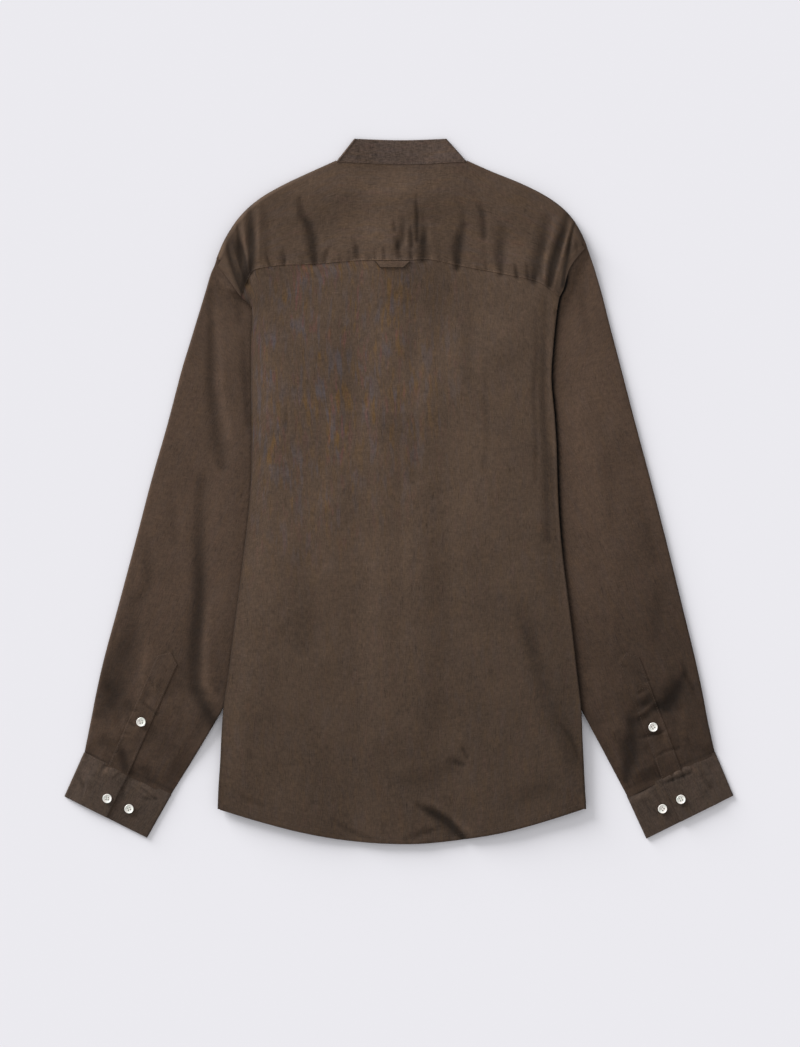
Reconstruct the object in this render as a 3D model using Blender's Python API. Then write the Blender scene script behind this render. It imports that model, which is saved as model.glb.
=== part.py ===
"""Long-sleeved linen shirt with a band collar, laid flat with its back up.

Metres, +Z up. X runs to the right across the back and Y runs up to the collar. The shirt rests on Z = 0,
and the origin lies under the middle of its outline, on the line down the middle of the back.

Each cloth piece is a patch between its cut edges. Its points are laid at the height of the cloth beneath
them, and the sheet is then given its wall. The sides of the body are tucked in between front and back, and
the inner part of each sleeve lies in that tuck. Tables give distances from the middle line, unless they say x.
"""

import math

import bmesh
import bpy
import numpy as np

# Cloth
WALL = 0.001
CUFF_WALL = 0.0014
SEAM_GAP = 0.0004
LAP = 0.003
FOLD_INSET = 0.001
RAMP = 0.040
MARGIN = 0.007

# Front opening and collar
FRONT_BAND_HALF = 0.016
STAND_PAST_MIDDLE = 0.010
SEWN_BEFORE_MIDDLE = 0.0145
NECK_HALF = 0.075
NECK_TOP = 0.380
NECK_SAG_BACK = 0.003
NECK_DROP_FRONT = 0.085
NECK_STEP = math.radians(12)
NECK_YOKE_ANGLE = math.radians(71)
COLLAR_HEIGHT = 0.028
COLLAR_SIDE_EXTRA = 0.0046
COLLAR_LEAN = math.radians(40)
COLLAR_INSIDE = 0.0015
COLLAR_LAP_ANGLE = math.radians(9.2)
COLLAR_LAST_ANGLE = math.radians(81)
COLLAR_RIM_SAG = 0.0015
FRONT_YOKE = 0.030
FRONT_HEM_SHORT = 0.006

# Buttons
BUTTON_RADIUS = 0.0053
BUTTON_THICK = 0.0020
BUTTON_STEPS = 16
BUTTON_GAP = 0.0005
FRONT_BUTTONS = 7
FIRST_BUTTON = 0.255
BUTTON_PITCH = 0.085

# Sleeve openings
SLEEVE_SHARES = (0.0, 0.14, 0.28, 0.42, 0.57, 0.71, 0.86, 1.0)
SLIT_COLUMN = 3
SLIT_HALF = 0.0005
SLIT_TOP = -0.200
UNDERARM_ROW = 5
PLACKET_WIDTH = 0.025
PLACKET_POINT = 0.010
PLACKET_RISE = 0.0022
CUFF_RISE = 0.0018
UNDERLAP_SHARE = 0.24
UNDERLAP_CLEAR = 0.04
CUFF_INSET_SHARE = 0.01

# Soft rise of the upper cloth over what it lies on, and how far in from a fold it is complete
BACK_LOFT = 0.0018
BACK_SLOPE = 0.030
SLEEVE_LOFT = 0.0024
SLEEVE_SLOPE = 0.025
TUCK_CELLS = 4

# Layers from the floor up, and the height that each adds to what lies on it.
LAYERS = {
    "button": 0.0024,
    "front_band": 0.0018,
    "front_yoke": 0.0017,
    "front": 0.0020,
    "front_tuck": 0.0018,
    "sleeve_under": 0.0015,
    "sleeve_over": 0.0018,
    "back_tuck": 0.0022,
    "back": 0.0023,
    "yoke": 0.0016,
    "collar": 0.0016,
}

LEFT, RIGHT = -1, 1
SIDE_NAMES = {LEFT: "left", RIGHT: "right"}

# Shoulder outlines, from the neck to the armhole: from the middle, height.
SHOULDER = {
    LEFT: (
        (0.075, 0.380), (0.117, 0.362), (0.140, 0.348), (0.174, 0.325),
        (0.193, 0.307), (0.205, 0.284), (0.2125, 0.267),
    ),
    RIGHT: (
        (0.075, 0.380), (0.130, 0.358), (0.172, 0.336), (0.192, 0.320),
        (0.204, 0.305), (0.210, 0.294), (0.2125, 0.285),
    ),
}

# Armholes, from the shoulder to the underarm: from the middle, height.
ARMHOLE = {
    LEFT: (
        (0.2065, 0.2545), (0.198, 0.243), (0.185, 0.223), (0.172, 0.208),
        (0.151, 0.184), (0.105, 0.137), (0.059, 0.088),
    ),
    RIGHT: (
        (0.2065, 0.2745), (0.192, 0.258), (0.1795, 0.224), (0.174, 0.210),
        (0.155, 0.190), (0.107, 0.138), (0.059, 0.088),
    ),
}
YOKE_CORNER = 2

# Edges of the body where its sides fold in: height, then from the middle on the left and on the right.
FOLD_EDGE = (
    (0.208, 0.172, 0.179),
    (0.170, 0.1735, 0.174),
    (0.130, 0.174, 0.172),
    (0.088, 0.174, 0.178),
    (0.050, 0.174, 0.180),
    (0.013, 0.174, 0.180),
    (-0.030, 0.178, 0.182),
    (-0.075, 0.1845, 0.186),
    (-0.122, 0.189, 0.192),
    (-0.170, 0.194, 0.198),
    (-0.210, 0.199, 0.202),
    (-0.247, 0.204, 0.206),
    (-0.280, 0.2065, 0.2075),
    (-0.310, 0.208, 0.209),
    (-0.340, 0.210, 0.2105),
    (-0.365, 0.211, 0.212),
)

# Side seam at the bottom of each tuck, below the underarm: from the middle, height.
SIDE_SEAM = ((0.082, -0.033), (0.117, -0.229), (0.141, -0.352))

# Yoke seam between its corners, and hem, from left to right: x, y.
YOKE_SEAM = (
    (-0.185, 0.223), (-0.1695, 0.252), (-0.135, 0.260), (-0.101, 0.261), (-0.050, 0.265), (0.000, 0.265),
    (0.033, 0.266), (0.067, 0.259), (0.114, 0.250), (0.157, 0.240), (0.1795, 0.224),
)
HEM = (
    (-0.211, -0.365), (-0.117, -0.387), (-0.059, -0.397), (-0.002, -0.4055),
    (0.047, -0.402), (0.118, -0.389), (0.212, -0.365),
)

# Sleeve sections, from the shoulder to the cuff: the outer edge, then the armhole or underarm edge, each
# from the middle and height.
SLEEVE = {
    LEFT: (
        (0.2145, 0.259, 0.2095, 0.2565),
        (0.2185, 0.249, 0.198, 0.242),
        (0.224, 0.229, 0.185, 0.222),
        (0.233, 0.203, 0.151, 0.184),
        (0.243, 0.170, 0.105, 0.137),
        (0.253, 0.137, 0.059, 0.088),
        (0.269, 0.076, 0.083, 0.034),
        (0.287, 0.013, 0.108, -0.024),
        (0.305, -0.056, 0.134, -0.086),
        (0.325, -0.131, 0.162, -0.150),
        (0.341, -0.190, 0.187, -0.208),
        (0.350, -0.229, 0.204, -0.247),
        (0.357, -0.265, 0.235, -0.300),
        (0.3640, -0.2995, 0.2645, -0.3475),
    ),
    RIGHT: (
        (0.2145, 0.277, 0.2095, 0.2755),
        (0.219, 0.267, 0.200, 0.266),
        (0.225, 0.252, 0.188, 0.247),
        (0.233, 0.224, 0.174, 0.210),
        (0.241, 0.192, 0.119, 0.151),
        (0.254, 0.142, 0.059, 0.088),
        (0.271, 0.076, 0.081, 0.034),
        (0.287, 0.013, 0.104, -0.024),
        (0.303, -0.056, 0.129, -0.086),
        (0.320, -0.131, 0.160, -0.150),
        (0.335, -0.190, 0.188, -0.208),
        (0.344, -0.229, 0.205, -0.247),
        (0.352, -0.265, 0.232, -0.298),
        (0.3600, -0.2990, 0.2590, -0.3490),
    ),
}

# Cuffs: corners at the wrist, and where the overlap starts, as a share of the width from the outer side.
CUFF = {
    LEFT: {"outer": (0.387, -0.351), "inner": (0.293, -0.398), "lap": 0.51},
    RIGHT: {"outer": (0.381, -0.350), "inner": (0.282, -0.399), "lap": 0.61},
}

# Free edge of each sleeve placket, from its top to the cuff: from the middle, height.
PLACKET = {
    LEFT: ((0.2575, -0.199), (0.3125, -0.3220)),
    RIGHT: ((0.2500, -0.199), (0.2985, -0.3285)),
}

# Buttons on the sleeves: from the middle, height.
SLEEVE_BUTTONS = {
    LEFT: {"placket": (0.299, -0.265), "cuff_outer": (0.338, -0.353), "cuff_inner": (0.313, -0.365)},
    RIGHT: {"placket": (0.289, -0.271), "cuff_outer": (0.321, -0.354), "cuff_inner": (0.300, -0.365)},
}

# Hanger loop, just below the yoke seam: x of its ends at the top and at the bottom, and those heights.
LOOP_TOP = (-0.029, 0.011)
LOOP_BOTTOM = (-0.024, 0.004)
LOOP_HEIGHTS = (0.2638, 0.2570)
LOOP_RISE = 0.0016

# Folds of the back and yoke: x and y of one end, x and y of the other, half width, rise.
BACK_FOLDS = (
    (-0.198, 0.284, -0.182, 0.227, 0.007, -0.0016),
    (-0.187, 0.306, -0.176, 0.242, 0.006, -0.0016),
    (-0.181, 0.297, -0.172, 0.249, 0.006, 0.0016),
    (-0.171, 0.318, -0.168, 0.262, 0.008, -0.0018),
    (-0.152, 0.306, -0.152, 0.262, 0.009, -0.0016),
    (-0.136, 0.280, -0.136, 0.262, 0.007, -0.0012),
    (-0.111, 0.321, -0.098, 0.264, 0.009, -0.0016),
    (-0.086, 0.284, -0.086, 0.266, 0.008, -0.0012),
    (-0.052, 0.284, -0.052, 0.266, 0.009, -0.0014),
    (0.018, 0.335, 0.021, 0.296, 0.010, -0.0014),
    (0.025, 0.290, 0.025, 0.266, 0.008, -0.0014),
    (0.067, 0.302, 0.067, 0.260, 0.009, -0.0016),
    (0.093, 0.327, 0.093, 0.292, 0.009, -0.0014),
    (0.114, 0.288, 0.114, 0.252, 0.009, -0.0016),
    (0.132, 0.272, 0.132, 0.250, 0.008, -0.0014),
    (0.158, 0.313, 0.157, 0.242, 0.010, -0.0018),
    (0.189, 0.318, 0.173, 0.235, 0.008, -0.0018),
    (0.193, 0.312, 0.179, 0.243, 0.005, 0.0014),
    (0.198, 0.305, 0.187, 0.247, 0.006, -0.0014),
    (-0.120, 0.200, -0.128, 0.020, 0.016, -0.0010),
    (-0.050, 0.150, -0.040, -0.060, 0.020, -0.0010),
    (0.040, 0.180, 0.030, 0.000, 0.018, -0.0010),
    (0.096, 0.150, 0.096, 0.020, 0.016, -0.0014),
    (0.159, 0.110, 0.157, 0.000, 0.016, -0.0014),
    (0.019, -0.363, 0.070, -0.397, 0.010, 0.0016),
    (0.003, -0.398, 0.045, -0.386, 0.008, -0.0012),
    (-0.071, -0.386, -0.035, -0.397, 0.009, 0.0010),
    (-0.205, -0.340, -0.167, -0.359, 0.008, 0.0012),
    (0.190, -0.285, 0.206, -0.300, 0.012, 0.0010),
)

# Folds of the sleeves' upper cloth, in the same columns.
SLEEVE_FOLDS = (
    (-0.219, 0.220, -0.221, 0.030, 0.016, -0.0016),
    (-0.235, -0.110, -0.241, -0.224, 0.015, -0.0018),
    (-0.241, -0.224, -0.221, -0.253, 0.012, -0.0012),
    (-0.322, -0.150, -0.339, -0.235, 0.016, -0.0018),
    (-0.285, -0.060, -0.300, -0.160, 0.018, 0.0012),
    (-0.262, 0.060, -0.272, -0.040, 0.018, -0.0010),
    (0.232, 0.180, 0.240, 0.040, 0.016, -0.0014),
    (0.262, -0.020, 0.280, -0.130, 0.018, -0.0014),
    (0.250, -0.205, 0.285, -0.225, 0.012, 0.0016),
    (0.263, -0.232, 0.332, -0.275, 0.013, -0.0018),
    (0.338, -0.229, 0.290, -0.290, 0.014, -0.0016),
    (0.300, -0.060, 0.318, -0.150, 0.016, 0.0010),
)

# Base colours, as red, green and blue out of 255
BROWN = (81, 67, 57)
YOKE_BROWN = (84, 69, 59)
SLEEVE_BROWN = (74, 61, 52)
CUFF_BROWN = (69, 58, 52)
PEARL = (226, 222, 212)


# Curves


def smooth_step(t):
    t = min(max(t, 0.0), 1.0)
    return t * t * (3.0 - 2.0 * t)


def fade(past):
    """1 up to an edge and a little past it, then falling smoothly to 0 over the ramp."""
    return 1.0 - smooth_step((past - MARGIN) / RAMP)


def at_height(line, y):
    """How far out a line of points lies at a height, carried on straight past its ends."""
    points = sorted((p[1], p[0]) for p in line)
    index = sum(y > p[0] for p in points[1:-1])
    (y0, x0), (y1, x1) = points[index], points[index + 1]
    return x0 + (x1 - x0) * (y - y0) / (y1 - y0)


def at_x(line, x):
    """Height of a line of points at an x, level past its ends."""
    points = sorted((float(p[0]), float(p[1])) for p in line)
    return float(np.interp(x, [p[0] for p in points], [p[1] for p in points]))


def lengths(line):
    """How far along a line each of its points lies, as shares of the whole."""
    steps = np.linalg.norm(np.diff(np.asarray(line, float), axis=0), axis=1)
    run = np.concatenate([[0.0], np.cumsum(steps)])
    return run / run[-1]


def refine(line, cells):
    """The points of a smooth curve through the given ones, with that many cells between neighbours."""
    points = np.asarray(line, float)
    slopes = np.gradient(points, axis=0)
    found = []
    for i in range(len(points) - 1):
        for t in np.arange(cells) / cells:
            found.append(
                points[i] * (1 + 2 * t) * (1 - t) ** 2
                + slopes[i] * t * (1 - t) ** 2
                + points[i + 1] * t * t * (3 - 2 * t)
                - slopes[i + 1] * t * t * (1 - t)
            )
    return found + [points[-1]]


def spread(line, count):
    """That many points, evenly spaced along the smooth curve through the given ones."""
    fine = np.asarray(refine(line, 12) if len(line) > 2 else line, float)
    run = lengths(fine)
    shares = np.linspace(0.0, 1.0, count)
    return list(np.stack([np.interp(shares, run, fine[:, k]) for k in range(fine.shape[1])], axis=1))


def patch(top, bottom, left, right):
    """Rows of points between four edges. Top and bottom have a point for each column, the sides for each row."""
    top, bottom, left, right = (np.asarray(edge, float) for edge in (top, bottom, left, right))
    across = (lengths(top) + lengths(bottom)) / 2
    down = (lengths(left) + lengths(right)) / 2
    rows = []
    for v, start, end in zip(down, left, right):
        row = []
        for u, high, low in zip(across, top, bottom):
            corners = (1 - v) * ((1 - u) * top[0] + u * top[-1]) + v * ((1 - u) * bottom[0] + u * bottom[-1])
            row.append((1 - u) * start + u * end + (1 - v) * high + v * low - corners)
        rows.append(row)
    return rows


def on_side(side, points):
    """Points given by their distance from the middle, as x and y."""
    return [np.array([side * p[0], p[1]]) for p in points]


# Lines of the cut


def fold_edge(side):
    column = 1 if side == LEFT else 2
    return [(row[column], row[0]) for row in FOLD_EDGE]


BODY_EDGE = {side: list(ARMHOLE[side][: YOKE_CORNER + 1]) + fold_edge(side) for side in (LEFT, RIGHT)}
TUCK_EDGE = {side: list(ARMHOLE[side]) + list(SIDE_SEAM) for side in (LEFT, RIGHT)}
SLEEVE_OUTER = {side: [row[:2] for row in SLEEVE[side]] for side in (LEFT, RIGHT)}
SLEEVE_INNER = {side: [row[2:] for row in SLEEVE[side]] for side in (LEFT, RIGHT)}
HEM_LINE = spread(HEM, 40)
NECK_BACK = [(-NECK_HALF, NECK_TOP), (0.0, NECK_TOP - NECK_SAG_BACK), (NECK_HALF, NECK_TOP)]


def neck_front(angle, out=0.0):
    """A point of the front neckline, from the middle at 0 to the shoulder at a right angle."""
    across, drop = NECK_HALF + out, NECK_DROP_FRONT + out
    return np.array([across * math.sin(angle), NECK_TOP - drop * math.cos(angle)])


def neck_angles(first):
    """Angles of the front neckline's points, from near the middle to where the yoke starts."""
    steps = [k * NECK_STEP for k in range(-1, 6)]
    return [first] + [angle for angle in steps if angle > first + NECK_STEP / 4] + [NECK_YOKE_ANGLE]


def inward_of(outline):
    """Unit vectors that point from an outline, drawn from the neck outward, into the body."""
    along = np.gradient(np.asarray(outline, float), axis=0)
    along /= np.linalg.norm(along, axis=1)[:, None]
    return np.stack([along[:, 1], -along[:, 0]], axis=1)


def front_yoke_edge(outline):
    """The yoke's seam on the front, parallel to the shoulder outline, starting on the neckline."""
    edge = np.asarray(outline) + inward_of(outline) * FRONT_YOKE
    edge[0] = neck_front(NECK_YOKE_ANGLE)
    return edge


FRONT_YOKE_EDGE = {side: front_yoke_edge(SHOULDER[side]) for side in (LEFT, RIGHT)}


# Layers


def present(layer, x, y):
    """How much of a layer's height lies under what is on it at this place, from 0 to 1."""
    side, reach = (LEFT if x < 0 else RIGHT), abs(x)
    collar_top = NECK_TOP - NECK_DROP_FRONT + COLLAR_HEIGHT
    if layer == "button":
        lowest = FIRST_BUTTON - BUTTON_PITCH * (FRONT_BUTTONS - 1)
        return fade(reach - BUTTON_RADIUS) * fade(y - collar_top) * fade(lowest - 2 * BUTTON_RADIUS - y)
    if layer == "front_band":
        return fade(reach - FRONT_BAND_HALF) * fade(y - collar_top)
    if layer == "front_yoke":
        edge = FRONT_YOKE_EDGE[side]
        return fade(at_x(edge, reach) - y) * fade(edge[0][0] - reach)
    if layer == "front":
        return fade(reach - at_height(BODY_EDGE[side], y)) * fade(y - NECK_TOP)
    if layer in ("front_tuck", "back_tuck"):
        across = fade(at_height(TUCK_EDGE[side], y) - reach) * fade(reach - at_height(BODY_EDGE[side], y))
        return across * fade(y - FOLD_EDGE[0][0])
    if layer in ("sleeve_under", "sleeve_over"):
        return fade(at_height(SLEEVE_INNER[side], y) - reach)
    if layer == "back":
        return fade(y - at_x(YOKE_SEAM, x) - LAP)
    return 1.0


def folds(table, x, y):
    """Rise of a table's folds at this place, each a soft ridge or trough that dies out at its ends."""
    rise = 0.0
    for x0, y0, x1, y1, width, height in table:
        dx, dy = x1 - x0, y1 - y0
        t = min(max(((x - x0) * dx + (y - y0) * dy) / (dx * dx + dy * dy), 0.0), 1.0)
        off = math.hypot(x - x0 - t * dx, y - y0 - t * dy) / width
        rise += height * math.exp(-off * off)
    return rise


def relief(layer, x, y):
    """Rise of the upper cloth, which is level with its layer at the edges."""
    side, reach = (LEFT if x < 0 else RIGHT), abs(x)
    edge = at_height(BODY_EDGE[side], y)
    if layer in ("back", "yoke"):
        inside = smooth_step((edge - reach) / BACK_SLOPE) if y < ARMHOLE[side][0][1] else 1.0
        inside *= smooth_step((NECK_TOP - y) / RAMP)
        return max(BACK_LOFT + folds(BACK_FOLDS, x, y), 0.0) * inside
    if layer == "sleeve_over":
        clear = smooth_step((reach - edge) / RAMP)
        clear *= smooth_step((at_height(SLEEVE_OUTER[side], y) - reach) / SLEEVE_SLOPE)
        clear *= smooth_step((reach - at_height(SLEEVE_INNER[side], y)) / SLEEVE_SLOPE)
        return max(SLEEVE_LOFT + folds(SLEEVE_FOLDS, x, y), 0.0) * clear
    return 0.0


def laid(layer, place, extra=0.0):
    """A point of a piece's middle surface, at this place in plan and in this layer."""
    x, y = float(place[0]), float(place[1])
    below = list(LAYERS)[: list(LAYERS).index(layer)]
    z = WALL / 2 + extra + relief(layer, x, y) + sum(LAYERS[name] * present(name, x, y) for name in below)
    return np.array([x, y, z])


def turn(edge, inward, under, over):
    """Three points of a fold at a panel's edge: in the lower layer, outermost, and in the upper layer."""
    inset = np.asarray(edge, float) + np.asarray(inward, float) * FOLD_INSET
    low, high = laid(under, inset), laid(over, inset)
    return low, np.array([edge[0], edge[1], (low[2] + high[2]) / 2]), high


# Solids


def material(name, colour, roughness):
    finish = bpy.data.materials.new(name)
    finish.use_nodes = True
    shader = finish.node_tree.nodes["Principled BSDF"]
    linear = [((c / 255 + 0.055) / 1.055) ** 2.4 for c in colour]
    shader.inputs["Base Color"].default_value = (*linear, 1.0)
    shader.inputs["Roughness"].default_value = roughness
    shader.inputs["Metallic"].default_value = 0.0
    return finish


def solid(name, mesh, finish):
    """A new object of this mesh, which is used up."""
    data = bpy.data.meshes.new(name)
    mesh.to_mesh(data)
    mesh.free()
    data.materials.append(finish)
    thing = bpy.data.objects.new(name, data)
    bpy.context.scene.collection.objects.link(thing)
    return thing


def cloth(name, rows, colour, wall=WALL, slit=None):
    """Cloth from rows of middle points. None is a missing point, and slit is (column, first row) of a cut."""
    mesh = bmesh.new()
    grid = [[None if point is None else mesh.verts.new(point) for point in row] for row in rows]
    for j in range(len(rows) - 1):
        for i in range(len(rows[0]) - 1):
            corners = (grid[j][i], grid[j + 1][i], grid[j + 1][i + 1], grid[j][i + 1])
            cut = slit is not None and i == slit[0] and j >= slit[1]
            if None not in corners and not cut:
                mesh.faces.new(corners)
    bmesh.ops.remove_doubles(mesh, verts=mesh.verts, dist=0.00002)
    bmesh.ops.triangulate(mesh, faces=mesh.faces, quad_method="FIXED")
    thing = solid(name, mesh, material(name, colour, 0.85))
    thick = thing.modifiers.new("Wall", "SOLIDIFY")
    thick.thickness = wall
    thick.offset = 0.0
    return thing


def button(name, place, z, face_up=True):
    """A round button turned from its half section: flat behind, with a raised rim in front."""
    radius, thick, dish = BUTTON_RADIUS, BUTTON_THICK, BUTTON_THICK * 0.7
    rim = ((radius, 0.0), (radius, thick), (radius * 0.74, thick), (radius * 0.58, dish))
    section = ((0.0, 0.0),) + rim + ((0.0, dish),)
    mesh = bmesh.new()
    points = [mesh.verts.new((r, 0.0, h)) for r, h in section]
    edges = [mesh.edges.new(pair) for pair in zip(points, points[1:])]
    full_turn = {"angle": 2 * math.pi, "steps": BUTTON_STEPS, "use_merge": True}
    bmesh.ops.spin(mesh, geom=points + edges, cent=(0, 0, 0), axis=(0, 0, 1), **full_turn)
    bmesh.ops.remove_doubles(mesh, verts=mesh.verts, dist=0.00001)
    bmesh.ops.recalc_face_normals(mesh, faces=mesh.faces)
    thing = solid(name, mesh, material(name, PEARL, 0.3))
    thing.location = (place[0], place[1], z if face_up else z + thick)
    thing.rotation_euler = (0.0 if face_up else math.pi, 0.0, 0.0)
    return thing


# Body


def round_the_edge(side, row, edge, main, tucked):
    """One section of a panel, from the middle outward, then round its folded edge and back in to the seam."""
    inner = min(at_height(TUCK_EDGE[side], edge[1]), edge[0] - FOLD_INSET)
    over = main == "back"
    under_layer, over_layer = (tucked, main) if over else (main, tucked)
    low, middle, high = turn((side * edge[0], edge[1]), (-side, 0.0), under_layer, over_layer)
    turned = [high, middle, low] if over else [low, middle, high]
    start = edge[0] - FOLD_INSET
    shares = [k / TUCK_CELLS for k in range(1, TUCK_CELLS + 1)]
    return row[:-1] + turned + [laid(tucked, (side * (start + (inner - start) * t), edge[1])) for t in shares]


def back_panel():
    """The back, from the yoke seam to the curved hem, with both its sides folded in under it."""
    cells = 22
    edges = {side: [ARMHOLE[side][YOKE_CORNER]] + fold_edge(side) for side in (LEFT, RIGHT)}
    ends = {side: on_side(side, edges[side]) for side in (LEFT, RIGHT)}
    seam = spread(YOKE_SEAM[1:-1], cells - 1)
    top = [ends[LEFT][0]] + [p + np.array([0.0, LAP]) for p in seam] + [ends[RIGHT][0]]
    rows = []
    for j, plan in enumerate(patch(top, spread(HEM, cells + 1), ends[LEFT], ends[RIGHT])):
        row = [laid("back", p) for p in plan]
        if j == 0:
            nothing = [None] * (TUCK_CELLS + 2)
            rows.append(nothing + row + nothing)
        else:
            row = round_the_edge(RIGHT, row, edges[RIGHT][j], "back", "back_tuck")
            rows.append(round_the_edge(LEFT, row[::-1], edges[LEFT][j], "back", "back_tuck")[::-1])
    return cloth("back_panel", rows, BROWN)


def front(side):
    """One front, from the neckline and the front yoke seam to the hem, with its side folded in over it."""
    first = -STAND_PAST_MIDDLE if side == RIGHT else SEWN_BEFORE_MIDDLE
    angles = neck_angles(math.asin(first / NECK_HALF))
    neckline = [neck_front(angle, SEAM_GAP) for angle in angles]
    shoulder = [p + np.array([0.0, LAP]) for p in FRONT_YOKE_EDGE[side][1:-1]]
    corner = np.array([ARMHOLE[side][0][0] - 0.001, ARMHOLE[side][0][1] + LAP])
    top = neckline + spread(shoulder, 4) + [corner]
    edge = [corner] + list(ARMHOLE[side][1 : YOKE_CORNER + 1]) + fold_edge(side)
    edge[-1] = (edge[-1][0], edge[-1][1] + FRONT_HEM_SHORT)
    across = np.interp(lengths(top), [0.0, 1.0], [first, edge[-1][0]])
    bottom = [(x, at_x(HEM_LINE, side * x) + FRONT_HEM_SHORT) for x in across]
    middle = [(first, y) for y in np.linspace(top[0][1], bottom[0][1], len(edge))]
    rows = []
    for j, plan in enumerate(patch(top, bottom, middle, edge)):
        row = [laid("front", (side * p[0], p[1])) for p in plan]
        if j < YOKE_CORNER + 1:
            rows.append(row + [None] * (TUCK_CELLS + 2))
        else:
            rows.append(round_the_edge(side, row, edge[j], "front", "front_tuck"))
    return cloth("front_" + SIDE_NAMES[side], rows, BROWN)


def front_band():
    """The strip down the left front, which the buttons hold."""
    x = FRONT_BAND_HALF
    high = neck_front(0.0, SEAM_GAP)[1] - 0.002
    low = at_x(HEM_LINE, 0.0) + FRONT_HEM_SHORT
    rows = [[laid("front_band", (across, y)) for across in (-x, 0.0, x)] for y in np.linspace(high, low, 24)]
    return cloth("front_band", rows, BROWN)


def yoke():
    """The yoke, from its seam on the back, over both shoulders, to its seams on the front."""
    shoulder_cells, neck_cells, armhole_cells = 18, 16, 4
    outlines = {side: spread(SHOULDER[side], shoulder_cells + 1) for side in (LEFT, RIGHT)}
    inward = {side: inward_of(outlines[side]) for side in (LEFT, RIGHT)}
    front_edges = {side: front_yoke_edge(outlines[side]) for side in (LEFT, RIGHT)}
    neck = spread(NECK_BACK, neck_cells + 1)
    top = on_side(LEFT, outlines[LEFT][::-1]) + neck[1:-1] + on_side(RIGHT, outlines[RIGHT])
    armholes = {}
    for side in (LEFT, RIGHT):
        armholes[side] = on_side(side, refine(ARMHOLE[side][: YOKE_CORNER + 1], armhole_cells // 2))
    seam_cells = len(top) - 1 - 2 * armhole_cells
    seam = [YOKE_SEAM[0]] + spread(YOKE_SEAM[1:-1], seam_cells - 1) + [YOKE_SEAM[-1]]
    bottom = armholes[LEFT] + seam[1:-1] + armholes[RIGHT][::-1]
    down = 8
    rows = patch(top, bottom, spread([top[0], bottom[0]], down), spread([top[-1], bottom[-1]], down))
    over = [[laid("yoke", p) for p in row] for row in rows[1:]]
    edge, under, middle, upper = [], [], [], []
    for i, place in enumerate(top):
        side = LEFT if i <= shoulder_cells else RIGHT
        k = shoulder_cells - i if side == LEFT else i - shoulder_cells - neck_cells
        if k < 0:
            points = (None, None, None, laid("yoke", place))
        else:
            direction = (side * inward[side][k][0], inward[side][k][1])
            sewn_x, sewn_y = front_edges[side][k]
            points = (laid("front_yoke", (side * sewn_x, sewn_y)), *turn(place, direction, "front_yoke", "yoke"))
        for line, point in zip((edge, under, middle, upper), points):
            line.append(point)
    return cloth("yoke", [edge, under, middle, upper] + over, YOKE_BROWN)


# Collar


def collar_section(side, angle):
    """Seam and top of the collar's front half at an angle of the neckline, each from the middle and height."""
    base = neck_front(angle, -COLLAR_INSIDE)
    share = max(angle, 0.0) / (math.pi / 2)
    lean = COLLAR_LEAN * share
    length = COLLAR_HEIGHT + COLLAR_SIDE_EXTRA * share
    return base, base + length * np.array([-math.sin(lean), math.cos(lean)])


def collar_band():
    """The band round the neck: its back half lies on its front halves, whose ends overlap at the middle."""
    angles = [-COLLAR_LAP_ANGLE] + [k * NECK_STEP for k in range(6)] + [NECK_YOKE_ANGLE, COLLAR_LAST_ANGLE]
    shares = (0.0, 0.5, 1.0)
    columns = []

    def add(layer, base, top):
        columns.append([laid(layer, base + (top - base) * t) for t in shares])

    halves = {side: [collar_section(side, angle) for angle in angles] for side in (LEFT, RIGHT)}
    ends = {side: collar_section(side, math.pi / 2) for side in (LEFT, RIGHT)}
    layers = {LEFT: "front_band", RIGHT: "front_yoke"}
    for base, top in halves[LEFT]:
        add(layers[LEFT], base * (LEFT, 1), top * (LEFT, 1))
    for side in (LEFT, RIGHT):
        base, top = (point * (side, 1) for point in ends[side])
        points = [turn(base + (top - base) * t, (-side, 0.0), layers[side], "collar") for t in shares]
        turned = [[point[k] for point in points] for k in range(3)]
        if side == RIGHT:
            turned = turned[::-1]
        columns += turned
        if side == LEFT:
            cells = 12
            rim_end = ends[RIGHT][1]
            rim = [(-rim_end[0], rim_end[1]), (0.0, rim_end[1] - COLLAR_RIM_SAG), (rim_end[0], rim_end[1])]
            for base_point, top_point in list(zip(spread(NECK_BACK, cells + 1), spread(rim, cells + 1)))[1:-1]:
                add("collar", base_point - np.array([0.0, LAP / 2]), top_point)
    for base, top in halves[RIGHT][::-1]:
        add(layers[RIGHT], base, top)
    rows = [[column[k] for column in columns] for k in range(len(shares))]
    return cloth("collar_band", rows, YOKE_BROWN)


def hanger_loop():
    """The flat loop below the yoke seam, folded under it at both ends."""
    rows = []
    for y, t in zip(np.linspace(LOOP_HEIGHTS[0], LOOP_HEIGHTS[1], 3), (0.0, 0.5, 1.0)):
        ends = [LOOP_TOP[k] + (LOOP_BOTTOM[k] - LOOP_TOP[k]) * t for k in (0, 1)]
        rows.append([laid("back", (x, y), LOOP_RISE) for x in np.linspace(*ends, 7)])
    return cloth("hanger_loop", rows, YOKE_BROWN)


# Sleeves


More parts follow.
